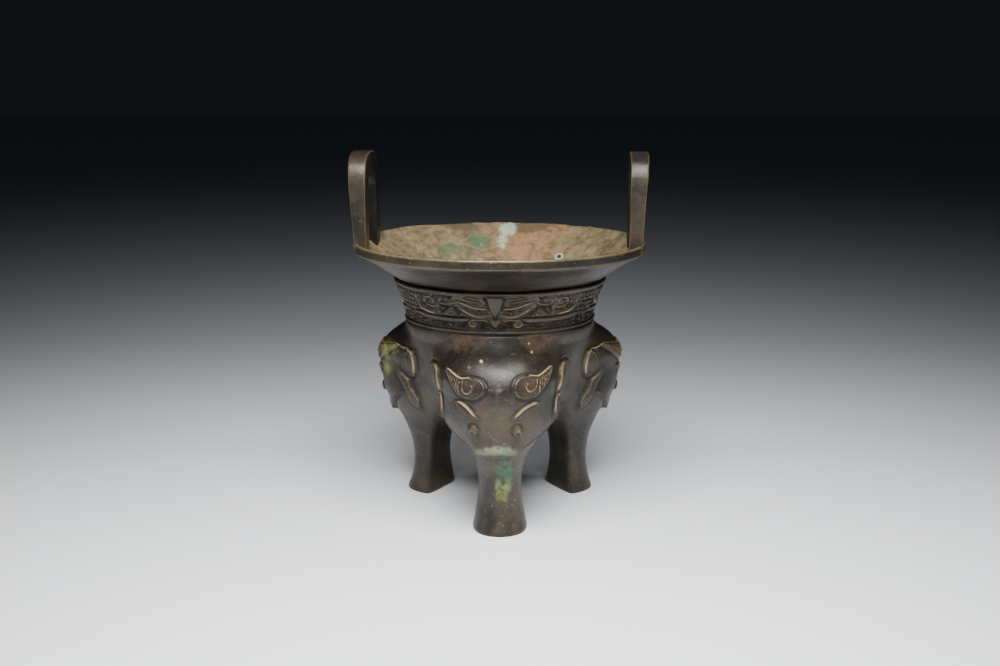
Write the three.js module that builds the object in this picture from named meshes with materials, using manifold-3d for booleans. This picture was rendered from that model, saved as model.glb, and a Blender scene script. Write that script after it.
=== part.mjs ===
// A cast bronze ding: a flared mouth on a banded neck, a body of three animal-mask lobes
// that run down into three solid legs, and two upright handles on the rim.
// Millimetres, +Z up. The origin is on the ground, under the middle of the vessel.
// One lobe faces the front, along -Y, and the handles stand over the X axis.

import * as THREE from 'three';
import { mergeVertices } from 'three/addons/utils/BufferGeometryUtils.js';
import Module from 'manifold-3d';

// Body, from the ground to the foot of the band
const legCount = 3;
const bodyHeight = 129.2;
const lobeReach = 90.6;
const lobeWidth = 79.6;
const footWidth = 35.8;
const creaseRadius = 12;
const bodyWall = 4.5;

// Neck band, between its two lips
const bandHeight = 26.4;
const bandFootRadius = 62.3;
const bandTopRadius = 69.3;
const bandHollow = 0.9;
const lipProud = 1.1;
const lipHeight = 2;
const neckWall = 6;

// Mouth
const rimRadius = 96;
const rimEdge = 6.3;
const flareHeight = 24.4;
const mouthWall = 5;
const lipBevel = 1.2;
const throatStep = 0.8;
const throatDropShare = 0.1;

// Handles
const handleWidth = 56;
const handleRise = 58;
const loopWidth = 28.5;
const loopRise = 43;
const handleFootThickness = 8.5;
const handleTopThickness = 12.2;
const handleSetback = 3.4;
const handleTurn = -4;
const outerShoulderShare = 0.46;
const innerShoulderShare = 0.42;
const archSquareness = 2.7;

// Relief
const maskRelief = 1.7;
const noseRelief = 2.6;
const bandRelief = 1.1;
const reliefSink = 1.2;

// Divisions of the faceted surfaces
const neckColumns = 12;
const creaseColumns = 8;
const sectorRows = 13;
const turnedSides = 54;
const hollowSides = 30;
const hollowRows = 5;

const bandTop = bodyHeight + bandHeight;
const rimTop = bandTop + flareHeight;
const halfSector = Math.PI / legCount;
const neckHollow = bandFootRadius - bodyWall;
const plainBand = bandHeight - 2 * lipHeight;

const wasm = await Module();
wasm.setup();

// A smooth curve through [position, value] stations that never overshoots them.
function curve(stations) {
  const count = stations.length;
  const gap = [];
  const rise = [];
  for (let i = 0; i < count - 1; i++) {
    gap.push(stations[i + 1][0] - stations[i][0]);
    rise.push((stations[i + 1][1] - stations[i][1]) / gap[i]);
  }
  const slope = [rise[0]];
  for (let i = 1; i < count - 1; i++) {
    const steady = rise[i - 1] * rise[i] > 0;
    const mean = (rise[i - 1] * gap[i] + rise[i] * gap[i - 1]) / (gap[i - 1] + gap[i]);
    const most = 3 * Math.min(Math.abs(rise[i - 1]), Math.abs(rise[i]));
    slope.push(steady ? Math.sign(mean) * Math.min(Math.abs(mean), most) : 0);
  }
  slope.push(rise[count - 2]);
  return (at) => {
    if (at <= stations[0][0]) return stations[0][1];
    if (at >= stations[count - 1][0]) return stations[count - 1][1];
    let i = 0;
    while (at > stations[i + 1][0]) i++;
    const t = (at - stations[i][0]) / gap[i];
    const bend = t * t * (3 - 2 * t);
    const lift = t * (1 - t) * gap[i] * ((1 - t) * slope[i] - t * slope[i + 1]);
    return stations[i][1] * (1 - bend) + stations[i + 1][1] * bend + lift;
  };
}

function scaled(stations, along, across) {
  return curve(stations.map(([at, value]) => [at * along, value * across]));
}

// Free form of a lobe and its leg, as shares of the body's height and the lobe's reach.
const frontShares = [
  [0, 0.805], [0.062, 0.768], [0.155, 0.746], [0.233, 0.753], [0.31, 0.781], [0.388, 0.831],
  [0.465, 0.885], [0.558, 0.941], [0.651, 0.985], [0.736, 1], [0.806, 0.978], [0.868, 0.91],
  [0.922, 0.797], [0.961, 0.684], [0.992, 0.552],
];
const backShares = [
  [0, 0.508], [0.155, 0.519], [0.248, 0.511], [0.326, 0.48], [0.388, 0.425], [0.434, 0.342],
  [0.473, 0.221], [0.512, 0.066], [0.558, -0.088], [0.659, -0.166], [0.992, -0.166],
];
const middleShares = [
  [0, 0.574], [0.31, 0.574], [0.426, 0.552], [0.543, 0.497], [0.659, 0.442], [0.775, 0.419],
  [0.992, 0.397],
];
// Half widths, as shares of the foot's width and of the lobe's width
const ankleShares = [
  [0, 0.5], [0.062, 0.453], [0.14, 0.402], [0.217, 0.38], [0.295, 0.402], [0.357, 0.464],
];
const swellShares = [
  [0.411, 0.249], [0.465, 0.314], [0.527, 0.392], [0.589, 0.45], [0.65, 0.46], [0.705, 0.467],
  [0.751, 0.487], [0.79, 0.5], [0.828, 0.494], [0.884, 0.452], [0.93, 0.389], [0.961, 0.32],
  [0.992, 0.232],
];
// Squareness of the leg's inner side: a high power gives crisp corners
const squareness = scaled([[0, 4.5], [0.23, 4], [0.39, 3], [0.5, 2.2], [1, 2]], bodyHeight, 1);
const roundness = 2.15;
// The round bowl between the lobes, as shares of the band's foot
const bowlFloor = 0.512;
const bowlShares = [
  [bowlFloor, 0.002], [0.523, 0.289], [0.558, 0.514], [0.62, 0.738], [0.698, 0.859], [0.791, 0.915],
  [0.891, 0.966], [1, 0.987],
];

// Lines inside the body that its surface is worked out from, as [reach share, height share]
const spineShares = [[0.39, 0.78], [0.5, 0.45]];
const heartShare = 0.74;
const maskAxisShare = 0.386;

const frontLine = scaled(frontShares, bodyHeight, lobeReach);
const backLine = scaled(backShares, bodyHeight, lobeReach);
const middleLine = scaled(middleShares, bodyHeight, lobeReach);
const bowlLine = scaled(bowlShares, bodyHeight, bandFootRadius);
const halfWidth = curve([
  ...ankleShares.map(([at, value]) => [at * bodyHeight, value * footWidth]),
  ...swellShares.map(([at, value]) => [at * bodyHeight, value * lobeWidth]),
]);
const lobeTop = frontShares[frontShares.length - 1][0] * bodyHeight;

// How far a point is outside one lobe. Its level section is two half ovals, one in front of
// and one behind a middle line, and the hind one squares up towards the foot.
function lobeField(along, across, z) {
  const level = Math.min(Math.max(z, 0), lobeTop);
  const middle = middleLine(level);
  const ahead = along - middle;
  const reach = ahead > 0 ? frontLine(level) - middle : middle - backLine(level);
  const power = ahead > 0 ? roundness : squareness(level);
  const stretch = Math.abs(ahead / reach) ** power + Math.abs(across / halfWidth(level)) ** power;
  const ratio = stretch ** (1 / power) + 1e-9;
  const distance = Math.hypot(ahead, across) * (1 - 1 / ratio);
  return z > lobeTop ? Math.max(distance, z - lobeTop) : distance;
}

// A union whose crease is rounded.
function blend(a, b) {
  const share = Math.min(Math.max(0.5 + (0.5 * (b - a)) / creaseRadius, 0), 1);
  return b + (a - b) * share - creaseRadius * share * (1 - share);
}

// How far a point is outside the body, in the frame of a leg that points along +X.
function bodyField(x, y, z) {
  const floor = bowlFloor * bodyHeight;
  const level = Math.max(z, floor);
  const flat = Math.hypot(x, y) - bowlLine(level);
  let field = z < floor ? Math.hypot(flat, floor - z) : flat;
  for (let leg = 0; leg < legCount; leg++) {
    const turn = 2 * halfSector * leg;
    const along = x * Math.cos(turn) + y * Math.sin(turn);
    const across = -x * Math.sin(turn) + y * Math.cos(turn);
    field = blend(field, lobeField(along, across, z));
  }
  return field;
}

// Where a ray from inside the body leaves it, or comes within a given depth of leaving it.
function cast(origin, direction, depth = 0) {
  const ray = direction.clone().normalize();
  const at = (far) => {
    const point = origin.clone().addScaledVector(ray, far);
    return bodyField(point.x, point.y, point.z) + depth;
  };
  const stride = 2;
  let far = stride;
  while (at(far) < 0 && far < 2 * lobeReach) far += stride;
  let near = far - stride;
  for (let halving = 0; halving < 26; halving++) {
    const half = (near + far) / 2;
    if (at(half) < 0) near = half;
    else far = half;
  }
  return origin.clone().addScaledVector(ray, near);
}

// A geometry of triangles from rows of points. Each row is a closed ring unless it is one point.
function ringsToGeometry(rows) {
  const positions = [];
  const face = (...corners) => {
    for (const corner of corners) positions.push(corner.x, corner.y, corner.z);
  };
  for (let j = 0; j < rows.length - 1; j++) {
    const lower = rows[j];
    const upper = rows[j + 1];
    const count = Math.max(lower.length, upper.length);
    for (let i = 0; i < count; i++) {
      const a = lower[i % lower.length];
      const b = lower[(i + 1) % lower.length];
      const c = upper[(i + 1) % upper.length];
      const d = upper[i % upper.length];
      if (lower.length > 1) face(a, b, c);
      if (upper.length > 1) face(a, c, d);
    }
  }
  const geometry = new THREE.BufferGeometry();
  geometry.setAttribute('position', new THREE.Float32BufferAttribute(positions, 3));
  return geometry;
}

function toSolid(geometry) {
  const bare = geometry.clone();
  bare.deleteAttribute('normal');
  bare.deleteAttribute('uv');
  const merged = mergeVertices(bare, 1e-3);
  const corners = merged.index.array;
  const kept = [];
  for (let i = 0; i < corners.length; i += 3) {
    const [a, b, c] = corners.slice(i, i + 3);
    if (a !== b && b !== c && c !== a) kept.push(a, b, c);
  }
  return new wasm.Manifold(new wasm.Mesh({
    numProp: 3,
    vertProperties: new Float32Array(merged.attributes.position.array),
    triVerts: new Uint32Array(kept),
  }));
}

function toGeometry(solid) {
  const mesh = solid.getMesh();
  const geometry = new THREE.BufferGeometry();
  geometry.setAttribute('position', new THREE.Float32BufferAttribute(mesh.vertProperties, 3));
  geometry.setIndex(Array.from(mesh.triVerts));
  geometry.computeVertexNormals();
  return geometry;
}

function turned(geometry, angle) {
  return geometry.clone().applyMatrix4(new THREE.Matrix4().makeRotationZ(angle));
}

// The outer skin of one sector, from its border down to the foot. Every point lies where a ray
// from a spine inside the lobe, through a guide point between border and foot, leaves the body.
const bodyTop = bodyHeight + lipHeight;
const heart = new THREE.Vector3(0, 0, heartShare * bodyHeight);
const sectorColumns = neckColumns + 2 * creaseColumns;
const neckShare = neckColumns / sectorColumns;

// A point of the sector's border: the neck's arc in front, then down the crease between two
// lobes, and under the belly to the middle.
function borderPoint(share) {
  const side = Math.sign(share);
  const part = Math.abs(share);
  const neckRadius = bowlLine(bodyHeight);
  if (part < neckShare + 1e-9) {
    const angle = side * halfSector * (part / neckShare);
    return new THREE.Vector3(neckRadius * Math.cos(angle), neckRadius * Math.sin(angle), bodyTop);
  }
  const steepest = Math.atan2(bodyTop - heart.z, neckRadius);
  const drop = (part - neckShare) / (1 - neckShare);
  const slope = steepest - drop * (steepest + Math.PI / 2);
  const level = Math.cos(slope);
  const crease = side * halfSector;
  if (drop > 1 - 1e-9) return cast(heart, new THREE.Vector3(0, 0, -1));
  const out = new THREE.Vector3(level * Math.cos(crease), level * Math.sin(crease), Math.sin(slope));
  return cast(heart, out);
}

function sectorRowsOfPoints() {
  const spine = new THREE.QuadraticBezierCurve3(
    ...spineShares.map(([out, up]) => new THREE.Vector3(out * lobeReach, 0, up * bodyHeight)),
    new THREE.Vector3(middleLine(0), 0, 0),
  );
  const rows = [];
  for (let j = 0; j <= sectorRows; j++) {
    const down = j / sectorRows;
    const source = spine.getPoint(down);
    const row = [];
    for (let i = 0; i < sectorColumns; i++) {
      const share = -1 + (2 * i) / sectorColumns;
      if (j === 0) {
        row.push(borderPoint(share));
        continue;
      }
      const angle = Math.PI * share;
      const foot = cast(spine.getPoint(1), new THREE.Vector3(Math.cos(angle), Math.sin(angle), 0));
      const guide = borderPoint(share).lerp(foot, down);
      row.push(j === sectorRows ? foot : cast(source, guide.sub(source)));
    }
    rows.push(row);
  }
  return rows;
}

function bodyBlock() {
  const skin = sectorRowsOfPoints();
  const sole = [new THREE.Vector3(middleLine(0), 0, 0)];
  const positions = [];
  const neckTop = new THREE.Vector3(0, 0, bodyTop);
  const arc = skin[0].filter((point) => point.z > bodyTop - 1e-6);
  const lid = [];
  for (let i = 0; i < arc.length - 1; i++) {
    for (const corner of [neckTop, arc[i], arc[i + 1]]) lid.push(corner.x, corner.y, corner.z);
  }
  const sheet = ringsToGeometry([...skin, sole].reverse());
  for (let leg = 0; leg < legCount; leg++) {
    const turn = 2 * halfSector * leg - Math.PI / 2;
    positions.push(...turned(sheet, turn).attributes.position.array);
    const cover = new THREE.BufferGeometry();
    cover.setAttribute('position', new THREE.Float32BufferAttribute(lid, 3));
    positions.push(...turned(cover, turn).attributes.position.array);
  }
  const whole = new THREE.BufferGeometry();
  whole.setAttribute('position', new THREE.Float32BufferAttribute(positions, 3));
  return toSolid(whole);
}

// Inner line of the neck and mouth, as [radius, height], up to the rim
function innerLine() {
  const shares = [[0, 0], [0.16, 0.11], [0.36, 0.3], [0.58, 0.53], [0.79, 0.77], [1, 1]];
  const throat = bandTopRadius - neckWall - throatStep;
  const throatHeight = bandTop - throatDropShare * bandHeight;
  const lip = rimRadius - lipBevel;
  return shares.map(([height, out]) => new THREE.Vector2(
    throat + out * (lip - throat),
    throatHeight + height * (rimTop - throatHeight),
  ));
}

// The turned part above the body: the band between its lips, the flare and the rim's upright edge.
function upperBlock() {
  const outline = [new THREE.Vector2(0, bodyHeight)];
  outline.push(new THREE.Vector2(bandFootRadius + 0.6 * lipProud, bodyHeight));
  outline.push(new THREE.Vector2(bandFootRadius + lipProud, bodyHeight + 0.5 * lipHeight));
  outline.push(new THREE.Vector2(bandFootRadius + 0.3 * lipProud, bodyHeight + lipHeight));
  const bandRows = 3;
  for (let row = 1; row <= bandRows; row++) {
    const share = row / bandRows;
    outline.push(new THREE.Vector2(bandRadius(share), bodyHeight + lipHeight + share * plainBand));
  }
  outline.push(new THREE.Vector2(bandTopRadius + lipProud, bandTop - 0.5 * lipHeight));
  outline.push(new THREE.Vector2(bandTopRadius + lipProud, bandTop + 0.2 * lipHeight));
  const underside = [[0.04, -0.06], [0.24, 0.14], [0.46, 0.36], [0.68, 0.58], [0.85, 0.8], [1, 1]];
  for (const [height, out] of underside) {
    const radius = bandTopRadius + out * (rimRadius - bandTopRadius);
    outline.push(new THREE.Vector2(radius, bandTop + height * (flareHeight - rimEdge)));
  }
  outline.push(new THREE.Vector2(rimRadius, rimTop));
  outline.push(new THREE.Vector2(0, rimTop));
  return toSolid(new THREE.LatheGeometry(outline, turnedSides).rotateX(Math.PI / 2));
}

function bandRadius(share) {
  const straight = bandFootRadius + share * (bandTopRadius - bandFootRadius);
  return straight - bandHollow * 4 * share * (1 - share);
}

// The hollow: it follows the lobes at the wall's depth, then the neck and the mouth.
function hollowBlock() {
  const floor = bowlFloor * bodyHeight + bodyWall;
  const neckFoot = bodyHeight - bodyWall;
  const profile = curve(innerLine().map((point) => [point.y, point.x]));
  const heights = [];
  for (let row = 0; row <= hollowRows; row++) heights.push(floor + (row / hollowRows) * (neckFoot - floor));
  const rows = [[new THREE.Vector3(0, 0, floor)]];
  const ring = (height, radiusAt) => {
    const row = [];
    for (let i = 0; i < hollowSides; i++) {
      const angle = (2 * Math.PI * i) / hollowSides - Math.PI / 2;
      const radius = radiusAt(angle);
      row.push(new THREE.Vector3(radius * Math.cos(angle), radius * Math.sin(angle), height));
    }
    rows.push(row);
  };
  for (const height of heights) {
    ring(height, (angle) => {
      const level = new THREE.Vector3(0, 0, height);
      const out = new THREE.Vector3(Math.cos(angle + Math.PI / 2), Math.sin(angle + Math.PI / 2), 0);
      return cast(level, out, bodyWall).sub(level).length();
    });
  }
  ring(bodyHeight + 0.3 * bandHeight, () => neckHollow);
  for (const point of innerLine()) ring(point.y, () => profile(point.y));
  const above = rimTop + mouthWall;
  ring(above, () => rimRadius);
  rows.push([new THREE.Vector3(0, 0, above)]);
  return toSolid(ringsToGeometry(rows));
}

// A flattened arch: straight sides, then a squarish round top.
function archOutline(width, top, shoulder, foot, steps) {
  const points = [new THREE.Vector2(width / 2, foot)];
  const power = 2 / archSquareness;
  for (let step = 0; step <= steps; step++) {
    const angle = (Math.PI * step) / steps;
    const across = Math.sign(Math.cos(angle)) * Math.abs(Math.cos(angle)) ** power;
    const up = Math.sin(angle) ** power;
    points.push(new THREE.Vector2((width / 2) * across, shoulder + (top - shoulder) * up));
  }
  points.push(new THREE.Vector2(-width / 2, foot));
  return points;
}

// One handle on the +X side: an upright arch whose inner face is plumb and whose outer face
// leans out towards the top. Its feet end inside the sloping wall of the mouth.
function handleBlock() {
  const outerFace = rimRadius - handleSetback;
  const innerFace = outerFace - handleFootThickness;
  const top = rimTop + handleRise;
  const loopTop = rimTop + loopRise;
  const foot = rimTop - rimEdge;
  const outside = archOutline(handleWidth, top, top - outerShoulderShare * handleWidth, foot, 14);
  const loopShoulder = loopTop - innerShoulderShare * loopWidth;
  const inside = archOutline(loopWidth, loopTop, loopShoulder, foot, 10).reverse();
  const shape = new THREE.Shape([...outside, ...inside]);
  const slab = new THREE.ExtrudeGeometry(shape, { depth: 1, bevelEnabled: false });
  const place = slab.attributes.position;
  const inner = curve(innerLine().map((point) => [point.x, point.y]));
  for (let i = 0; i < place.count; i++) {
    const across = place.getX(i);
    const height = place.getY(i);
    const outward = place.getZ(i);
    const lean = Math.min(Math.max((height - rimTop) / handleRise, 0), 1);
    const thickness = handleFootThickness + lean * (handleTopThickness - handleFootThickness);
    const radius = innerFace + outward * thickness;
    const seated = height < foot + 1e-6 ? inner(radius) - 0.5 * mouthWall : height;
    place.setXYZ(i, radius, across, seated);
  }
  return toSolid(slab);
}

// Raised carving. A ribbon follows a line of [turn, height, half width] stations on a surface,
// keeps to the surface across its width, rises to a crest and sinks its edges a little way in.
function ribbon(surface, stations, steps, relief) {
  const length = stations.length - 1;
  const line = (index) => curve(stations.map((station, at) => [at / length, station[index]]));
  const [turnAt, heightAt, widthAt] = [line(0), line(1), line(2)];
  const place = (share) => surface.place(turnAt(share), heightAt(share));
  const profile = [[-1, -reliefSink], [-0.62, relief], [0.62, relief], [1, -reliefSink]];
  const rows = [];
  for (let step = 0; step <= steps; step++) {
    const share = step / steps;
    const here = place(share);
    const forward = place(Math.min(share + 0.02, 1)).sub(place(Math.max(share - 0.02, 0)));
    const outward = surface.settle(here, 1).sub(here);
    const sideways = new THREE.Vector3().crossVectors(forward, outward).normalize();
    rows.push(profile.map(([across, rise]) => {
      const aside = here.clone().addScaledVector(sideways, across * widthAt(share));
      return surface.settle(aside, rise);
    }));
  }
  const middle = (row) => {
    const sum = row.reduce((total, point) => total.add(point), new THREE.Vector3());
    return [sum.divideScalar(row.length)];
  };
  return toSolid(ringsToGeometry([middle(rows[0]), ...rows, middle(rows[steps])]));
}

// The lobe that points along +X, as a surface to carve. A place on it is a turn in degrees round
// an upright line inside the lobe, and a height as a share of the body.
const maskAxis = maskAxisShare * lobeReach;
const lobeSurface = {
  place(turn, height) {
    const angle = THREE.MathUtils.degToRad(turn);
    const source = new THREE.Vector3(maskAxis, 0, height * bodyHeight);
    return cast(source, new THREE.Vector3(Math.cos(angle), Math.sin(angle), 0));
  },
  settle(point, proud) {
    const reach = 0.5;
    const settled = point.clone();
    const normal = new THREE.Vector3();
    for (let pass = 0; pass < 3; pass++) {
      for (const axis of ['x', 'y', 'z']) {
        const more = settled.clone();
        const less = settled.clone();
        more[axis] += reach;
        less[axis] -= reach;
        const rise = bodyField(more.x, more.y, more.z) - bodyField(less.x, less.y, less.z);
        normal[axis] = rise / (2 * reach);
      }
      const field = bodyField(settled.x, settled.y, settled.z);
      settled.addScaledVector(normal, -field / normal.lengthSq());
    }
    return settled.addScaledVector(normal.normalize(), proud);
  },
};

// The band, as a surface to carve. A place on it is in degrees round the vessel and a share of
// the height between the lips.
const bandSurface = {
  place(turn, height) {
    const angle = THREE.MathUtils.degToRad(turn);
    const level = bodyHeight + lipHeight + height * plainBand;
    const radius = bandRadius(height);
    return new THREE.Vector3(radius * Math.cos(angle), radius * Math.sin(angle), level);
  },
  settle(point, proud) {
    const radius = bandRadius((point.z - bodyHeight - lipHeight) / plainBand) + proud;
    const angle = Math.atan2(point.y, point.x);
    return new THREE.Vector3(radius * Math.cos(angle), radius * Math.sin(angle), point.z);
  },
};

function mirrored(stations) {
  return stations.map(([turn, height, width]) => [-turn, height, width]).reverse();
}

// The animal mask: horn, ear, eye, nostril and cheek, each a line of [turn, height share, half
// width] stations.
const mask = [
  {
    steps: 5,
    line: [[9.5, 0.783, 3], [17, 0.784, 6.2], [26, 0.795, 5.6], [36, 0.824, 3.4], [46, 0.857, 0.6]],
  },
  { steps: 4, line: [[73, 0.855, 1], [71, 0.83, 5.2], [71, 0.785, 6.2], [71, 0.74, 4.4], [72, 0.705, 1]] },
  { steps: 3, line: [[7.5, 0.63, 0.5], [16, 0.673, 2.6], [28, 0.706, 0.8]] },
  { steps: 2, line: [[12, 0.565, 2], [15, 0.574, 3.2], [18, 0.583, 2]] },
  { steps: 4, line: [[52, 0.72, 1], [62, 0.69, 2.6], [68, 0.62, 3.6], [69, 0.53, 3.4], [67, 0.5, 1.2]] },
];
const muzzle = {
  steps: 4,
  relief: noseRelief,
  line: [[-20, 0.463, 0.8], [-10, 0.45, 3], [0, 0.446, 3.8], [10, 0.45, 3], [20, 0.463, 0.8]],
};

function maskBlocks() {
  const blocks = [];
  for (const feature of mask) {
    for (const line of [feature.line, mirrored(feature.line)]) {
      blocks.push(ribbon(lobeSurface, line, feature.steps, maskRelief));
    }
  }
  blocks.push(ribbon(lobeSurface, muzzle.line, muzzle.steps, muzzle.relief));
  return blocks;
}

// One motif of the band: a tapering brow, a heart-shaped nose and two swept wings on each side.
const brow = { steps: 3, line: [[0, 0.97, 2.6], [0, 0.7, 2.8], [0, 0.42, 1]] };
const nose = { steps: 2, line: [[0, 0.32, 2.6], [0, 0.2, 2.2], [0, 0.08, 0.5]] };
const wings = [
  { steps: 4, line: [[2.5, 0.56, 0.6], [10, 0.66, 1.2], [20, 0.84, 0.7]] },
  { steps: 4, line: [[2.5, 0.44, 0.6], [10, 0.47, 1.3], [20, 0.72, 0.7]] },
  { steps: 3, line: [[13, 0.25, 1], [28, 0.29, 1.4], [46, 0.31, 0.6]] },
];

function motifBlocks() {
  const blocks = [brow, nose].map((block) => ribbon(bandSurface, block.line, block.steps, bandRelief));
  for (const wing of wings) {
    for (const line of [wing.line, mirrored(wing.line)]) {
      blocks.push(ribbon(bandSurface, line, wing.steps, bandRelief));
    }
  }
  return blocks;
}

function spun(solid, angle) {
  return toSolid(turned(toGeometry(solid), angle));
}

function vessel() {
  let solid = bodyBlock().add(upperBlock()).subtract(hollowBlock());
  const handle = handleBlock();
  const pairTurn = THREE.MathUtils.degToRad(handleTurn);
  solid = solid.add(spun(handle, pairTurn)).add(spun(handle, Math.PI + pairTurn));
  for (const block of [...maskBlocks(), ...motifBlocks()]) {
    for (let leg = 0; leg < legCount; leg++) {
      solid = solid.add(spun(block, 2 * halfSector * leg - Math.PI / 2));
    }
  }
  return solid;
}

const bronze = new THREE.MeshStandardMaterial({ color: 0x4a3a2a, roughness: 0.42, metalness: 0.9 });
const ding = new THREE.Mesh(toGeometry(vessel()), bronze);
ding.name = 'ding_vessel';

const model = new THREE.Group();
model.add(ding);
export default model;
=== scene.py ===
"""A cast bronze ding: three masked lobes on three legs, a carved neck band, a flared mouth and two handles.

Shapes are worked out in millimetres and put into meshes in metres, +Z up, with the origin on the ground.
"""
import math
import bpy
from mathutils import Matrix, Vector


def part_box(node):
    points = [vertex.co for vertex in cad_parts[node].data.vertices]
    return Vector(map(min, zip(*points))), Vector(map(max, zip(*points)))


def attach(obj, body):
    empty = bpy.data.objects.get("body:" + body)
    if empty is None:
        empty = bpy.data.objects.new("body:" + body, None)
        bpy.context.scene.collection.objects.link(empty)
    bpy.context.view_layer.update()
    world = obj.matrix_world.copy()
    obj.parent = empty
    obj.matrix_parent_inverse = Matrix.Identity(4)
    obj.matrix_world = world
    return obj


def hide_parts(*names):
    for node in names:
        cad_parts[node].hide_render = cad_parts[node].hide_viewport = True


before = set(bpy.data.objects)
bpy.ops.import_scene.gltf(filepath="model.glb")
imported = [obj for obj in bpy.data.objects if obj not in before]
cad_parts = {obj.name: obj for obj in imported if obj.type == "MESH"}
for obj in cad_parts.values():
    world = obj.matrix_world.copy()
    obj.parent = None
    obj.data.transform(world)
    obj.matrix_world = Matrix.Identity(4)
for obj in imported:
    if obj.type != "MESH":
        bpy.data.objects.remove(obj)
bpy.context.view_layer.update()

from types import SimpleNamespace

import bpy
import numpy as np
from bpy.props import FloatProperty, FloatVectorProperty, PointerProperty

bl_info = {
    "name": "Bronze Ding",
    "version": (1, 0, 0),
    "blender": (4, 5, 0),
    "location": "3D View > Sidebar > Ding",
    "description": "Builds a cast bronze ding with masked lobes, a carved band and two handles",
    "category": "Add Mesh",
}

MM = 0.001
NODE = "ding_vessel"
LEGS = 3
HALF_SECTOR = math.pi / LEGS
FRONT = -math.pi / 2
RIM_TOP = 180.0
HANDLE_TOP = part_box(NODE)[1].z / MM
# The masks are drawn over a body of this height and stretch with it
DRAWN_BODY = 129.2
COARSE = 1


# Sizes and colours that can be set in the sidebar


def length(name, description, millimetres):
    """A length property with its default in millimetres."""
    return FloatProperty(
        name=name, description=description, default=millimetres * MM, unit="LENGTH", precision=4)


def tint(red, green, blue):
    """A linear colour from display values between 0 and 255."""
    share = np.array([red, green, blue]) / 255
    linear = np.where(share <= 0.04045, share / 12.92, ((share + 0.055) / 1.055) ** 2.4)
    return tuple(float(value) for value in linear)


def colour(name, description, *display):
    """A colour property with its default in display values."""
    return FloatVectorProperty(name=name, description=description, subtype="COLOR", default=tint(*display))


class DingSizes(bpy.types.PropertyGroup):
    """Driving dimensions of the vessel."""

    body_height: length("Body height", "From the ground to the foot of the neck band", 129.2)
    lobe_reach: length("Lobe reach", "From the vessel's axis to the front of a lobe", 90.6)
    lobe_width: length("Lobe width", "Widest level section of a lobe", 79.6)
    foot_width: length("Foot width", "Width of a foot on the ground", 35.8)
    crease_radius: length("Crease radius", "Rounding between two lobes", 12)
    body_wall: length("Body wall", "Thickness of the body's wall", 4.5)
    band_height: length("Band height", "Height of the neck band with its lips", 26.4)
    band_foot_radius: length("Band foot radius", "Radius of the neck band at its foot", 62.3)
    band_top_radius: length("Band top radius", "Radius of the neck band at its top", 69.3)
    band_hollow: length("Band hollow", "How far the band curves in between its lips", 0.9)
    lip_height: length("Lip height", "Height of a lip of the band", 2)
    neck_wall: length("Neck wall", "Thickness of the neck's wall", 6)
    rim_radius: length("Rim radius", "Outer radius of the mouth", 96)
    rim_edge: length("Rim edge", "Height of the upright edge of the rim", 6.3)
    handle_width: length("Handle width", "Width of a handle along the rim", 56)
    handle_rise: length("Handle rise", "Height of a handle above the rim", HANDLE_TOP - RIM_TOP)
    loop_width: length("Loop width", "Width of the opening of a handle", 28.5)
    loop_rise: length("Loop rise", "Height of the opening above the rim", 43)
    handle_foot: length("Handle thickness below", "Thickness of a handle at the rim", 8.5)
    handle_top: length("Handle thickness above", "Thickness of a handle at its top", 12.2)
    handle_setback: length("Handle setback", "From the rim's edge to a handle's outer face", 3.4)
    handle_turn: FloatProperty(
        name="Handle turn", description="Turn of the pair of handles about the vessel's axis",
        default=math.radians(-4), unit="ROTATION")
    mask_relief: length("Mask relief", "Height of the mask's plates", 0.9)
    band_relief: length("Band relief", "Height of the band's carving", 0.75)


class DingFinish(bpy.types.PropertyGroup):
    """Colours of the vessel and the stage."""

    dark_bronze: colour("Dark bronze", "Darkest tone of the patina", 35, 32, 27)
    brown_bronze: colour("Brown bronze", "Middle tone of the patina", 63, 55, 43)
    red_bronze: colour("Red bronze", "Reddish brown mottling", 84, 60, 40)
    # Also the colour of the painted highlights on raised edges, the nostrils and the snout.
    worn_gold_and_sheen: colour("Worn gold", "Bare metal on worn edges", 196, 170, 124)
    recess: colour("Recess", "Dirt in the grooves", 20, 16, 12)
    verdigris: colour("Verdigris", "Green corrosion", 46, 98, 64)
    pale_crust: colour("Pale crust", "White and pale green crust", 176, 186, 164)
    yellow_crust: colour("Yellow crust", "Yellow green corrosion", 140, 144, 72)
    pale_earth: colour("Pale earth", "Beige earth inside the mouth", 146, 128, 94)
    rust_earth: colour("Rust earth", "Orange brown earth inside the mouth", 156, 112, 74)
    olive_earth: colour("Olive earth", "Dark olive earth inside the mouth", 84, 72, 50)
    floor: colour("Floor", "Pale floor", 226, 229, 233)


def sizes():
    """The sidebar's lengths in millimetres, its angle, and the heights that follow from them."""
    group = bpy.context.scene.ding_sizes
    found = SimpleNamespace(**{name: getattr(group, name) / MM for name in DingSizes.__annotations__})
    found.handle_turn = group.handle_turn
    found.band_top = found.body_height + found.band_height
    found.rim_top = RIM_TOP
    return found


# Curves and fields


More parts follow.
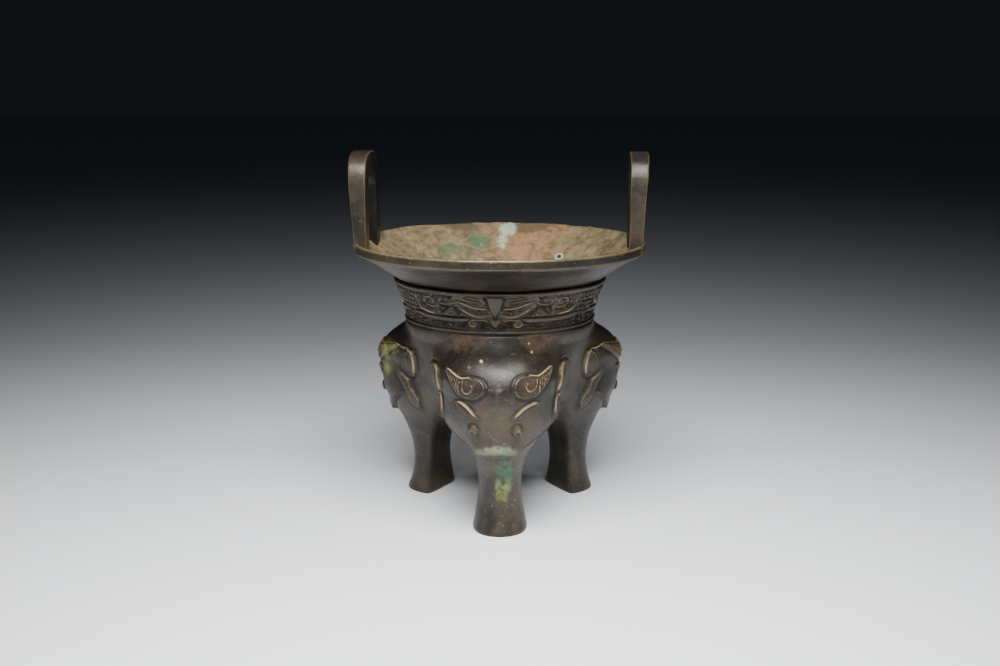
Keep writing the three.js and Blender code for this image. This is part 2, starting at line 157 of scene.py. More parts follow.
def curve(stations):
    """A smooth line through (position, value) stations: cubic pieces whose slopes never overshoot."""
    at, value = np.array(stations, float).T
    gap = np.diff(at)
    rise = np.diff(value) / gap
    mean = (rise[:-1] * gap[1:] + rise[1:] * gap[:-1]) / (gap[:-1] + gap[1:])
    most = 3 * np.minimum(np.abs(rise[:-1]), np.abs(rise[1:]))
    inner = np.where(rise[:-1] * rise[1:] > 0, np.sign(mean) * np.minimum(np.abs(mean), most), 0)
    slope = np.concatenate([rise[:1], inner, rise[-1:]])

    def line(x):
        x = np.clip(x, at[0], at[-1])
        i = np.clip(np.searchsorted(at, x, side="right") - 1, 0, len(gap) - 1)
        t = (x - at[i]) / gap[i]
        bend = t * t * (3 - 2 * t)
        lift = t * (1 - t) * gap[i] * ((1 - t) * slope[i] - t * slope[i + 1])
        return value[i] * (1 - bend) + value[i + 1] * bend + lift

    return line


def step(value, low, high):
    """0 below low, 1 above high and a smooth rise between them."""
    t = np.clip((value - low) / (high - low), 0, 1)
    return t * t * (3 - 2 * t)


def bell(value, width):
    """1 at 0 and nothing far from it: exp(-(value / width)^2)."""
    return np.exp(-((value / width) ** 2))


def turned(points, angle):
    """Points turned about the vertical axis."""
    x, y, z = np.moveaxis(points, -1, 0)
    cosine, sine = math.cos(angle), math.sin(angle)
    return np.stack([x * cosine - y * sine, x * sine + y * cosine, z], -1)


def unevenness(points, wavelength, seed):
    """Gentle waves between about -1 and 1: a sum of sines along random directions."""
    draw = np.random.default_rng(seed)
    total = np.zeros(points.shape[:-1])
    waves = 7
    for _ in range(waves):
        direction = draw.normal(size=3)
        direction /= np.linalg.norm(direction)
        size = wavelength * draw.uniform(0.6, 1.6)
        total += np.sin(points @ direction * 2 * math.pi / size + draw.uniform(0, 2 * math.pi))
    return total / math.sqrt(waves)


# The free form of a lobe and its leg, as shares of the body's height and of the lobe's reach
FRONT_SHARES = (
    (0, 0.805), (0.062, 0.768), (0.155, 0.746), (0.233, 0.753), (0.31, 0.781), (0.388, 0.831),
    (0.465, 0.885), (0.558, 0.941), (0.651, 0.985), (0.736, 1), (0.806, 0.978), (0.868, 0.91),
    (0.922, 0.797), (0.961, 0.684), (0.992, 0.552),
)
BACK_SHARES = (
    (0, 0.508), (0.155, 0.519), (0.248, 0.511), (0.326, 0.48), (0.388, 0.425), (0.434, 0.342),
    (0.473, 0.221), (0.512, 0.066), (0.558, -0.088), (0.659, -0.166), (0.992, -0.166),
)
MIDDLE_SHARES = (
    (0, 0.574), (0.31, 0.574), (0.426, 0.552), (0.543, 0.497), (0.659, 0.442), (0.775, 0.419), (0.992, 0.397),
)
ANKLE_SHARES = ((0, 0.5), (0.062, 0.453), (0.14, 0.402), (0.217, 0.38), (0.295, 0.402), (0.357, 0.464))
SWELL_SHARES = (
    (0.411, 0.249), (0.465, 0.314), (0.527, 0.392), (0.589, 0.45), (0.65, 0.46), (0.705, 0.467),
    (0.751, 0.487), (0.79, 0.5), (0.828, 0.494), (0.884, 0.452), (0.93, 0.389), (0.961, 0.32), (0.992, 0.232),
)
SQUARENESS = ((0, 4.5), (0.23, 4), (0.39, 3), (0.5, 2.2), (1, 2))
ROUNDNESS = 2.15
BOWL_FLOOR = 0.512
BOWL_SHARES = (
    (BOWL_FLOOR, 0.002), (0.523, 0.289), (0.558, 0.514), (0.62, 0.738), (0.698, 0.859), (0.791, 0.915),
    (0.891, 0.966), (1, 0.987),
)


class Body:
    """The lobed body as a distance field, in the frame of a leg that points along +X.

    A level section of a lobe is two half ovals about a middle line, with
    |ahead / reach|^p + |across / width|^p = 1, and the hind one squares up towards the foot.
    The lobes and a round bowl join with rounded creases.
    """

    def __init__(self, size):
        self.size = size
        height, reach = size.body_height, size.lobe_reach
        self.front = self.scaled(FRONT_SHARES, height, reach)
        self.back = self.scaled(BACK_SHARES, height, reach)
        self.middle = self.scaled(MIDDLE_SHARES, height, reach)
        self.bowl = self.scaled(BOWL_SHARES, height, size.band_foot_radius)
        self.square = self.scaled(SQUARENESS, height, 1)
        ankle = [(at * height, value * size.foot_width) for at, value in ANKLE_SHARES]
        swell = [(at * height, value * size.lobe_width) for at, value in SWELL_SHARES]
        self.half_width = curve(ankle + swell)
        self.lobe_top = FRONT_SHARES[-1][0] * height
        self.floor = BOWL_FLOOR * height

    @staticmethod
    def scaled(stations, along, across):
        """A curve through stations that are shares of a height and of a reach."""
        return curve([(at * along, value * across) for at, value in stations])

    def lobe(self, along, across, z):
        """Distance from one lobe: the level distance from its middle line times 1 - 1 / n."""
        level = np.clip(z, 0, self.lobe_top)
        middle = self.middle(level)
        ahead = along - middle
        reach = np.where(ahead > 0, self.front(level) - middle, middle - self.back(level))
        width = self.half_width(level)
        power = np.where(ahead > 0, ROUNDNESS, self.square(level))
        ratio = (np.abs(ahead / reach) ** power + np.abs(across / width) ** power) ** (1 / power)
        distance = np.hypot(ahead, across) * (1 - 1 / (ratio + 1e-9))
        return np.where(z > self.lobe_top, np.maximum(distance, z - self.lobe_top), distance)

    def field(self, points):
        """Distance from the whole body, below 0 inside: a smooth minimum of the bowl and the lobes."""
        x, y, z = np.moveaxis(points, -1, 0)
        flat = np.hypot(x, y) - self.bowl(np.maximum(z, self.floor))
        field = np.where(z < self.floor, np.hypot(flat, self.floor - z), flat)
        round_off = self.size.crease_radius
        for leg in range(LEGS):
            angle = 2 * HALF_SECTOR * leg
            along = x * math.cos(angle) + y * math.sin(angle)
            across = y * math.cos(angle) - x * math.sin(angle)
            other = self.lobe(along, across, z)
            share = np.clip(0.5 + 0.5 * (other - field) / round_off, 0, 1)
            field = other + (field - other) * share - round_off * share * (1 - share)
        return field

    def cast(self, source, direction, depth=0.0):
        """Where rays from inside the body come within a depth of leaving it: strides, then halvings."""
        source, direction = np.broadcast_arrays(np.asarray(source, float), np.asarray(direction, float))
        shape = source.shape
        source = source.reshape(-1, 3)
        ray = direction.reshape(-1, 3)
        ray = ray / np.linalg.norm(ray, axis=1, keepdims=True)
        stride, halvings = 2.5, 13
        far = np.full(len(source), stride)
        going = np.arange(len(source))
        while len(going) and far.max() < 2 * self.size.lobe_reach:
            inside = self.field(source[going] + ray[going] * far[going, None]) + depth < 0
            going = going[inside]
            far[going] += stride
        near = far - stride
        for _ in range(halvings):
            half = (near + far) / 2
            inside = self.field(source + ray * half[:, None]) + depth < 0
            near = np.where(inside, half, near)
            far = np.where(inside, far, half)
        return (source + ray * near[:, None]).reshape(shape)

    def normals(self, points):
        """Outward directions: the slope of the field by central differences."""
        reach = 0.4
        slope = [
            self.field(points + reach * axis) - self.field(points - reach * axis)
            for axis in np.eye(3)
        ]
        slope = np.stack(slope, -1)
        return slope / np.linalg.norm(slope, axis=-1, keepdims=True)


# Carving


def rounded(points, closed=False, steps=5):
    """A smooth line through given points: Catmull-Rom pieces."""
    points = np.array(points, float)
    if closed:
        padded = np.concatenate([points[-1:], points, points[:2]])
    else:
        padded = np.concatenate([2 * points[:1] - points[1:2], points, 2 * points[-1:] - points[-2:-1]])
    t = np.linspace(0, 1, steps, endpoint=False)[:, None]
    pieces = []
    for a, b, c, d in zip(padded, padded[1:], padded[2:], padded[3:]):
        bend, twist = 2 * a - 5 * b + 4 * c - d, 3 * b - a - 3 * c + d
        pieces.append(0.5 * (2 * b + (c - a) * t + bend * t**2 + twist * t**3))
    pieces.append(padded[-2:-1])
    return np.concatenate(pieces)


class Carving:
    """Relief over a flattened surface: at each place (x, y), in millimetres, its height, its worn gold with
    painted highlights, and its dirt.

    Cover says where carving lies, dirt and all, and face where a raised face does.
    """

    def __init__(self, x, y):
        self.x = x.ravel()
        self.y = y.ravel()
        self.shape = x.shape
        self.height, self.wear, self.dirt, self.cover, self.face = np.zeros((5, x.size))

    def near(self, line, margin):
        """The places within a margin of a line's box."""
        low, high = line.min(0) - margin, line.max(0) + margin
        inside = (self.x > low[0]) & (self.x < high[0]) & (self.y > low[1]) & (self.y < high[1])
        return np.flatnonzero(inside)

    def measure(self, at, line):
        """Distance to a line, how far along it that is, as a share, and whether it goes round a place."""
        x, y = self.x[at], self.y[at]
        nearest = np.full(len(at), 1e9)
        along = np.zeros(len(at))
        enclosed = np.zeros(len(at), bool)
        gaps = np.linalg.norm(np.diff(line, axis=0), axis=1)
        total = gaps.sum()
        run = 0.0
        for start, end, gap in zip(line[:-1], line[1:], gaps):
            dx, dy = end - start
            t = np.clip(((x - start[0]) * dx + (y - start[1]) * dy) / max(gap * gap, 1e-9), 0, 1)
            away = np.hypot(x - start[0] - t * dx, y - start[1] - t * dy)
            closer = away < nearest
            nearest = np.where(closer, away, nearest)
            along = np.where(closer, (run + t * gap) / total, along)
            if dy != 0:
                enclosed ^= ((start[1] > y) != (end[1] > y)) & (x < dx * (y - start[1]) / dy + start[0])
            run += gap
        return nearest, along, enclosed

    @staticmethod
    def lift(layer, at, values):
        """Takes a layer up to new values where they are higher."""
        layer[at] = np.maximum(layer[at], values)

    def thread(self, points, half_width, height, taper=0.15, smooth=True, crest_wear_and_sheen=0.7):
        """A raised line with a rounded back that narrows at its ends."""
        line = rounded(points) if smooth else np.array(points, float)
        at = self.near(line, 2 * half_width + 1)
        away, along, _ = self.measure(at, line)
        full = step(along, -0.02, taper) * step(1 - along, -0.02, taper) if taper else np.ones(len(at))
        back = 0.5 + 0.5 * np.cos(math.pi * np.clip(away / (half_width * (0.35 + 0.65 * full)), 0, 1))
        back = back * (0.25 + 0.75 * full)
        self.height[at] += height * back
        # Painted highlight: the crest is painted worn gold, more on edges that face the lamps; part of it is
        # rubbed metal.
        self.lift(self.wear, at, crest_wear_and_sheen * step(back, 0.25, 0.95))
        self.lift(self.dirt, at, 0.6 * bell(away - 1.15 * half_width, 0.45 * half_width) * full)
        self.lift(self.cover, at, step(-away, -1.5 * half_width, -half_width))
        self.lift(self.face, at, step(-away, -1.2 * half_width, -0.8 * half_width))

    def plate(self, points, height, edge=0.8, groove=0.3, smooth=True):
        """A raised flat shape with sloping sides and a fine groove round it."""
        closed = rounded(points, closed=True) if smooth else np.array(list(points) + [points[0]], float)
        at = self.near(closed, 3 * edge + 1)
        away, _, enclosed = self.measure(at, closed)
        depth = np.where(enclosed, away, -away)
        self.height[at] += height * step(depth, -0.5 * edge, edge)
        outline = bell(depth + 0.9 * edge, 0.6 * edge)
        self.height[at] -= groove * outline
        self.lift(self.dirt, at, 0.75 * outline)
        self.lift(self.wear, at, 0.25 * bell(depth - 0.8 * edge, 0.5 * edge))
        self.lift(self.cover, at, step(depth, -1.5 * edge, -0.5 * edge))
        self.lift(self.face, at, step(depth, -0.2 * edge, 0.6 * edge))

    def boss(self, centre, radius, height, dimple):
        """A round boss with a small dimple under its middle and a raised ring round that."""
        x, y = self.x - centre[0], self.y - centre[1]
        away = np.hypot(x, y)
        hole = np.hypot(x, y + 0.25 * radius)
        back = step(-away, -radius, -0.62 * radius)
        ring = bell(hole - 0.38 * radius, 0.16 * radius)
        rim = bell(away - 1.02 * radius, 0.16 * radius)
        everywhere = slice(None)
        self.height += height * back + 0.7 * dimple * ring - dimple * bell(hole, 0.24 * radius)
        # The ring is worn gold, and the boss's upper half is painted lighter as a painted highlight.
        self.lift(self.wear, everywhere, 0.4 * ring + 0.3 * back * step(y, 0, 0.6 * radius))
        self.lift(self.dirt, everywhere, np.maximum(0.65 * rim, 0.8 * bell(hole, 0.2 * radius)))
        self.lift(self.cover, everywhere, step(-away, -1.2 * radius, -radius))

    def layers(self):
        """Height, worn gold with painted highlights, dirt and raised faces in the shape of the places."""
        return (
            self.height.reshape(self.shape),
            np.clip(self.wear, 0, 1).reshape(self.shape),
            np.clip(self.dirt, 0, 1).reshape(self.shape),
            self.face.reshape(self.shape),
        )


# Meshes and pieces

SHARP_ANGLE = math.radians(40)


def ring_faces(rows, columns, loop):
    """Quads between rings of points, and between the last ring and the first one where they loop."""
    j = np.arange(rows if loop else rows - 1)[:, None] * columns
    below = (j + columns) % (rows * columns)
    i = np.arange(columns)[None, :]
    beside = (i + 1) % columns
    return np.stack([j + i, below + i, below + beside, j + beside], -1).reshape(-1, 4)


def close_ends(points, rows, columns, poles):
    """The points with a pole before the first ring and one after the last, and the two fans of triangles."""
    count = len(points)
    i = np.arange(columns)
    beside = (i + 1) % columns
    top = np.stack([np.full(columns, count), i, beside], -1)
    base = (rows - 1) * columns
    bottom = np.stack([base + i, np.full(columns, count + 1), base + beside], -1)
    return np.concatenate([points, poles]), np.concatenate([top, bottom])


def inside_out(points, quads, triangles):
    """Whether the faces point inwards, so that the cones from the origin to them sum to a negative volume."""
    corners = points[quads]
    halves = np.concatenate([corners[:, [0, 1, 2]], corners[:, [0, 2, 3]], points[triangles]])
    return np.einsum("ij,ij->i", halves[:, 0], np.cross(halves[:, 1], halves[:, 2])).sum() < 0


def filled_mesh(name, points, quads, triangles):
    """A smooth mesh from points in millimetres and its faces."""
    mesh = bpy.data.meshes.new(name)
    mesh.vertices.add(len(points))
    mesh.vertices.foreach_set("co", (points * MM).astype(np.float32).ravel())
    mesh.loops.add(quads.size + triangles.size)
    corners = np.concatenate([quads.ravel(), triangles.ravel()])
    mesh.loops.foreach_set("vertex_index", corners.astype(np.int32))
    starts = np.concatenate([np.arange(len(quads)) * 4, quads.size + np.arange(len(triangles)) * 3])
    mesh.polygons.add(len(starts))
    mesh.polygons.foreach_set("loop_start", starts.astype(np.int32))
    mesh.update(calc_edges=True)
    mesh.polygons.foreach_set("use_smooth", np.ones(len(starts), bool))
    return mesh


def shade_row(mesh, row, columns, normals):
    """Shades one ring by given normals, so that it looks like its neighbour across a seam."""
    shaded = np.empty(len(mesh.vertices) * 3, np.float32)
    mesh.vertex_normals.foreach_get("vector", shaded)
    shaded = shaded.reshape(-1, 3)
    shaded[row * columns : (row + 1) * columns] = normals
    mesh.normals_split_custom_set_from_vertices(shaded)


def ring_piece(name, rings, layers, poles=None, seam=None):
    """A closed bronze piece from a grid of rings, which loops or ends in two poles.

    Layers are named values on the grid, and seam is a row with the normals that it is shaded by.
    """
    rows, columns, _ = rings.shape
    points = rings.reshape(-1, 3)
    quads, triangles = ring_faces(rows, columns, poles is None), np.zeros((0, 3), int)
    if poles is not None:
        points, triangles = close_ends(points, rows, columns, poles)
    if inside_out(points, quads, triangles):
        quads, triangles = quads[:, ::-1], triangles[:, ::-1]
    mesh = filled_mesh(name, points, quads, triangles)
    if seam is None:
        mesh.set_sharp_from_angle(angle=SHARP_ANGLE)
    for layer, values in layers.items():
        spread = np.zeros(len(points), np.float32)
        spread[: rows * columns] = values.ravel()
        mesh.attributes.new(layer, "FLOAT", "POINT").data.foreach_set("value", spread)
    if seam is not None:
        shade_row(mesh, seam[0], columns, seam[1])
    if mesh.validate():
        raise RuntimeError(f"the mesh of {name} had faults")
    mesh.materials.append(bronze_finish())
    piece = bpy.data.objects.new(name, mesh)
    bpy.context.scene.collection.objects.link(piece)
    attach(piece, "root")
    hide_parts(NODE)
    return piece


# The masked lobes

# A lobe's border runs for this share along the neck, and the rest down the creases beside it
NECK_SHARE = 12 / 28
# Neighbouring lobes overlap by this angle, so that no gap shows between them
OVERLAP = 0.004
SKIN_DEPTH = 2.5
HEART_SHARE = 0.74
SPINE_SHARES = ((0.39, 0.78), (0.5, 0.45))
INNER_POLE_SHARES = (0.5, 0.44)
MASK_AXIS_SHARE = 0.386


def border(body, share):
    """A sector's border: the neck's arc in front, then down the creases beside it to the belly's middle.

    The crease is where rays from the body's heart, at even slopes, leave the body.
    """
    size = body.size
    radius = body.bowl(size.body_height)
    top = size.body_height + size.lip_height
    heart = np.array([0, 0, HEART_SHARE * size.body_height])
    side, part = np.sign(share), np.abs(share)
    turn = side * (HALF_SECTOR + OVERLAP) * np.minimum(part / NECK_SHARE, 1)
    arc = np.stack([radius * np.cos(turn), radius * np.sin(turn), np.full(len(share), top)], -1)
    steepest = math.atan2(top - heart[2], radius)
    drop = np.clip((part - NECK_SHARE) / (1 - NECK_SHARE), 0, 1)
    slope = steepest - drop * (steepest + math.pi / 2)
    crease = side * (HALF_SECTOR + OVERLAP)
    ray = np.stack([np.cos(slope) * np.cos(crease), np.cos(slope) * np.sin(crease), np.sin(slope)], -1)
    seam = body.cast(heart, ray)
    return np.where((part > NECK_SHARE + 1e-9)[:, None], seam, arc)


def sector(body, share, down, depth):
    """The skin of one lobe: rays from a spine inside it, through guides between its border and its foot."""
    size = body.size
    spine = np.array([
        *[(ahead * size.lobe_reach, 0, up * size.body_height) for ahead, up in SPINE_SHARES],
        (float(body.middle(0)), 0, 0),
    ])
    weights = np.stack([(1 - down) ** 2, 2 * down * (1 - down), down**2], -1)
    source = weights @ spine
    edge = border(body, share)
    level = np.stack([np.cos(math.pi * share), np.sin(math.pi * share), 0 * share], -1)
    foot = body.cast(spine[2], level)
    guide = edge[None] * (1 - down[:, None, None]) + foot[None] * down[:, None, None]
    return body.cast(source[:, None], guide - source[:, None], depth), edge


def flat(turn):
    """Degrees round the mask's upright axis, laid out in millimetres: slower round the lobe's sides."""
    laid = curve([(0, 0), (45, 40), (90, 72), (180, 140)])
    return np.sign(turn) * laid(np.abs(turn))


def drawn(points):
    """Mask points, given as a turn in degrees and a height, on the flattened surface."""
    points = np.array(points, float)
    return np.stack([flat(points[:, 0]), points[:, 1]], -1)


HORN = (
    (47, 110), (36, 108.7), (27.5, 107.2), (19, 107.9), (12.6, 106.9), (9.2, 103.6), (9.7, 99.3),
    (14.5, 95.3), (21, 94.4), (27.5, 96), (34.5, 100.5), (42, 106),
)
HORN_THREAD = (
    (47, 110.2), (41, 109.7), (34, 108.3), (27, 106.8), (23, 107.4), (18.6, 107.9), (13.4, 106.9),
    (10.1, 103.6), (10.3, 99.6), (13, 96.6), (17, 95.2),
)
HORN_SPIRAL = (
    (24.6, 106.8), (24.9, 103.4), (23.4, 100.3), (20.6, 98.9), (18.2, 99.6), (17.1, 101.6), (18.1, 103.4),
    (19.7, 102.9),
)
HORN_UPPER = ((24, 106.8), (34, 108.2), (41, 109.5), (46.5, 110))
HORN_LOWER = ((21, 94.6), (27.5, 96.2), (34.5, 100.6), (42, 106.2), (46.5, 109.6))
EYE = (
    (31, 90.7), (27, 91.6), (22.6, 91), (17.4, 88.4), (13.6, 85.2), (10.2, 81.6), (15.2, 81.9), (20, 83.2),
    (24.4, 85), (28.6, 87.4),
)
EYE_LID = ((31, 90.6), (26.5, 91.2), (22.4, 90.4), (17.6, 87.8), (13.8, 84.6), (10.4, 81.7))
EYE_LINE = ((27, 88.6), (21.5, 86.4), (15, 83.2))
EYE_EDGE = ((29.4, 88.4), (25.4, 85.7), (20.4, 83.4), (15.2, 82.1), (11.4, 81.7))
NOSTRIL = (15, 74.2)
MOUTH = (
    (69, 75), (65.9, 77.4), (60.5, 77.6), (51.6, 73.3), (46, 71), (38, 67.6), (31.5, 64.6), (24.3, 61.8),
    (16, 58.6), (9, 55.5),
)
JAW = (
    (0, 53.6), (9, 55.2), (16, 58.4), (31.5, 64.3), (46, 70.6), (55, 74.8), (62, 77.3), (70, 75), (78, 66),
    (90, 60),
)

# The front mask's ears and cheeks turn a little towards its face, with the thick edge on the near side
SIDE_EAR = (
    (74.3, 108.6), (81.1, 109.6), (85.7, 106.2), (86.5, 100.4), (83.9, 93.4), (78.5, 90), (70.6, 88.7),
    (64.5, 90.7), (62.3, 95.9), (63.9, 101), (68.9, 105.8),
)
SIDE_RIM = ((75, 108.3), (80.6, 108.8), (84.4, 105.6), (85, 100.2), (83, 94.6), (80, 91.2))
SIDE_CREST = ((83, 108), (79, 109.4), (73, 109.3), (66, 108.8), (59, 109.6), (53, 110.6))
SIDE_EAR_LINES = (
    ((78, 106.6), (71, 106), (67, 102.4), (65.4, 98), (67, 93.5), (72, 91.4), (77.5, 92.6), (80, 96)),
    ((74, 104), (73.5, 100), (71.8, 96)),
)
SIDE_CHEEK = (
    (55.5, 93.6), (60, 91.6), (65, 89.4), (69.6, 86), (71.4, 81.4), (75.6, 77.8), (77.8, 72.9), (74.5, 67.2),
    (69, 65.4), (65, 66.8), (64.5, 72), (65.4, 77), (63, 81.5), (59, 85.5), (55, 89.4),
)
SIDE_CHEEK_EDGE = (
    (55.5, 93), (59.5, 90.8), (64.6, 88.6), (69, 85.4), (70.8, 81), (75, 77.4), (77, 72.9), (74, 68),
)
FRONT_EAR = (
    (68, 109.4), (78, 109.6), (84.5, 106), (85.5, 100), (82, 93), (76, 89.6), (68, 88), (60.5, 89.4),
    (57, 93.6), (55.6, 99.6), (58.4, 105.6),
)
FRONT_RIM = ((73, 108.9), (66, 108.3), (60.2, 105), (57.3, 100), (57, 94.8), (59, 91))
FRONT_EAR_LINES = (
    ((68, 105.8), (65, 102.6), (63.6, 98), (64.6, 93.6)),
    ((74, 104.5), (71, 101.4), (69.6, 97.4), (70.4, 94)),
)
FRONT_CHEEK = (
    (64, 90.4), (58.4, 89.6), (54, 86.4), (52, 81.6), (53.4, 76), (59, 70.4), (66, 68), (72, 70.4), (74, 77),
    (72, 84), (68.6, 88.6),
)
FRONT_CHEEK_EDGE = ((65, 90.6), (59, 89.4), (55.2, 86.6), (53, 82.6), (53, 78.5))


HORN_STROKES = 8
STROKE_START, STROKE_PITCH = 26.6, 2.3
# Behind this turn the horns of the side masks stretch round the lobe
HORN_MIDDLE, SIDE_STRETCH = 25, 1.55
# The front mask leans a little between the jaw and the horns, and its left half hangs lower
FRONT_LEAN = -3.3
FRONT_DROP = 1.4
# Where the mask's forms fade in or out: pairs of heights, and of turns for the cheeks and the snout's side
LEAN_IN, LEAN_OUT, DROP_IN = (48, 60), (84, 106), (90, 98)
SNOUT_FOOT, SNOUT_TOP, SNOUT_SHEEN, SNOUT_SIDE = (56.8, 59.4), (61, 71), (61, 66), (11, 25)
KEEL_FOOT, KEEL_TOP, CHEEK_END = (76, 86), (98, 102), (62, 80)
JAW_SWELL, SNOUT_SWELL, KEEL_SWELL = 1.7, 3.3, 0.9
CASTING_FLAW = ((-24, 107.6), (-24.4, 110), (-24, 113))


def carve_horns(half, z, relief):
    """Relief of a pair of horns: a plate with a bright upper edge, a spiral and a comb of strokes."""
    carving = Carving(flat(half), z)
    carving.plate(drawn(HORN), 1.25 * relief, edge=0.9, groove=0.45)
    # The horn's upper edge gets a full painted highlight and its lower edge little.
    carving.thread(drawn(HORN_THREAD[:6]), 1.0, 0.8 * relief, taper=0.12, crest_wear_and_sheen=1)
    carving.thread(drawn(HORN_THREAD[5:]), 0.8, 0.5 * relief, taper=0.12, crest_wear_and_sheen=0.35)
    carving.thread(drawn(HORN_SPIRAL), 0.85, 0.75 * relief, taper=0.1, crest_wear_and_sheen=0.7)
    upper, lower = curve(HORN_UPPER), curve(HORN_LOWER)
    for number in range(HORN_STROKES):
        at = STROKE_START + STROKE_PITCH * number
        top, end = float(upper(at)) - 0.6, float(lower(at + 0.6)) + 0.5
        high_bend = (at + 1.1, 0.66 * top + 0.34 * end)
        low_bend = (at + 0.1, 0.33 * top + 0.67 * end)
        stroke = [(at, top), high_bend, low_bend, (at + 0.9, end)]
        carving.thread(drawn(stroke), 0.72, 0.7 * relief, taper=0.2, crest_wear_and_sheen=0.75)
    return carving.layers()


def carve_face(half, z, relief, front):
    """Relief of a mask's eyes, nostrils, ears, cheeks and mouth."""
    carving = Carving(flat(half), z)
    carving.plate(drawn(EYE), 0.5 * relief, edge=0.8, groove=0.15)
    carving.thread(drawn(EYE_LID), 1.5, 1.3 * relief, taper=0.25, crest_wear_and_sheen=0.95)
    carving.thread(drawn(EYE_LINE), 0.6, 0.5 * relief, crest_wear_and_sheen=0.4)
    carving.thread(drawn(EYE_EDGE), 0.6, 0.35 * relief, crest_wear_and_sheen=0.25)
    carving.boss(drawn([NOSTRIL])[0], 4.2, 2.7 * relief, 1.1 * relief)
    carving.plate(drawn(FRONT_EAR if front else SIDE_EAR), 1.0 * relief, edge=1)
    # The ear's thick rim and the side ears' crest are painted bright: a painted highlight where they face the
    # lamps, with some rubbing.
    carving.thread(drawn(FRONT_RIM if front else SIDE_RIM), 1.8, 1.8 * relief, taper=0.2, crest_wear_and_sheen=0.65)
    if not front:
        carving.thread(drawn(SIDE_CREST), 1.0, 1.1 * relief, taper=0.1, crest_wear_and_sheen=0.85)
    for line in FRONT_EAR_LINES if front else SIDE_EAR_LINES:
        carving.thread(drawn(line), 0.7, 0.6 * relief, crest_wear_and_sheen=0.4)
    carving.plate(drawn(FRONT_CHEEK if front else SIDE_CHEEK), 1.5 * relief, edge=2.2, groove=0.15)
    # The front mask's cheek edge gets a brighter painted highlight than the side masks', as it faces the
    # lamps.
    cheek_edge, crest_wear_and_sheen = (FRONT_CHEEK_EDGE, 0.75) if front else (SIDE_CHEEK_EDGE, 0.4)
    carving.thread(drawn(cheek_edge), 1.3, 0.8 * relief, crest_wear_and_sheen=crest_wear_and_sheen)
    carving.thread(drawn(MOUTH), 1.1, 0.9 * relief, taper=0.15, crest_wear_and_sheen=0.25)
    return carving.layers()


def carve_mask(turn, z, relief, front):
    """Relief of an animal mask over a turn in degrees and a height. Both halves are carved at once, mirrored.

    Plates and lines lie on three broad forms: the jaw, which fades upwards, the snout and a keel above it.
    """
    lean = FRONT_LEAN * step(z, *LEAN_IN) * (1 - step(z, *LEAN_OUT)) if front else 0 * z
    half = np.abs(turn - lean)
    dropped = z + np.where((turn < 0) & front, FRONT_DROP * step(z, *DROP_IN), 0)
    stretch = 1 if front else SIDE_STRETCH
    horn_half = np.where(half > HORN_MIDDLE, HORN_MIDDLE + (half - HORN_MIDDLE) / stretch, half)
    horns = carve_horns(horn_half, dropped, relief)
    face_height, *face_marks = carve_face(half, dropped, relief, front)
    height = face_height + horns[0]
    wear, dirt, face = [np.maximum(mark, other) for mark, other in zip(face_marks, horns[1:])]
    if front:
        flaw = Carving(flat(turn), z)
        flaw.thread(drawn(CASTING_FLAW), 0.6, 0.5 * relief)
        height = height + flaw.layers()[0]
        wear = np.maximum(wear, flaw.layers()[1])
    jaw = curve(JAW)(half)
    cheeks = 1 - step(half, *CHEEK_END)
    jaw_swell = cheeks * step(z, jaw - 0.7, jaw + 0.9) * np.exp(-np.clip(z - jaw, 0, None) / 14)
    snout = step(z, *SNOUT_FOOT) * (1 - step(z, *SNOUT_TOP)) * (1 - step(half, *SNOUT_SIDE))
    keel_width = 1.3 + np.clip(z - 78, 0, None) / 14
    keel = bell(flat(half), keel_width) * step(z, *KEEL_FOOT) * (1 - step(z, *KEEL_TOP))
    height = height + relief * (JAW_SWELL * jaw_swell + SNOUT_SWELL * snout + KEEL_SWELL * keel)
    # Painted highlight: the snout's lower part is painted worn gold as a gleam.
    wear = np.maximum(wear, 0.45 * snout * (1 - step(z, *SNOUT_SHEEN)))
    wear = np.maximum(wear, 0.22 * keel)
    dirt = np.maximum(dirt, 0.6 * cheeks * bell(z - jaw + 0.9, 0.8))
    return height, {"wear": wear, "dirt": dirt, "face": face}


LOBES = {"front_lobe": 0, "right_lobe": 1, "left_lobe": 2}
SKIN_ROWS, SKIN_COLUMNS, HIDDEN_ROWS = 210, 400, 22
# Columns crowd towards the front of the mask, and rows towards its top
CROWDING = 0.28
DOWN_STATIONS = ((0, 0), (0.72, 0.62), (1, 1))
CAST_WAVE, CAST_WAVELENGTH = 0.22, 26
FOOT_ROUND = 0.6
# The top of each lobe swells out to meet the band
COLLAR, COLLAR_IN, COLLAR_OUT = 1.4, (118, 126), (127, DRAWN_BODY)


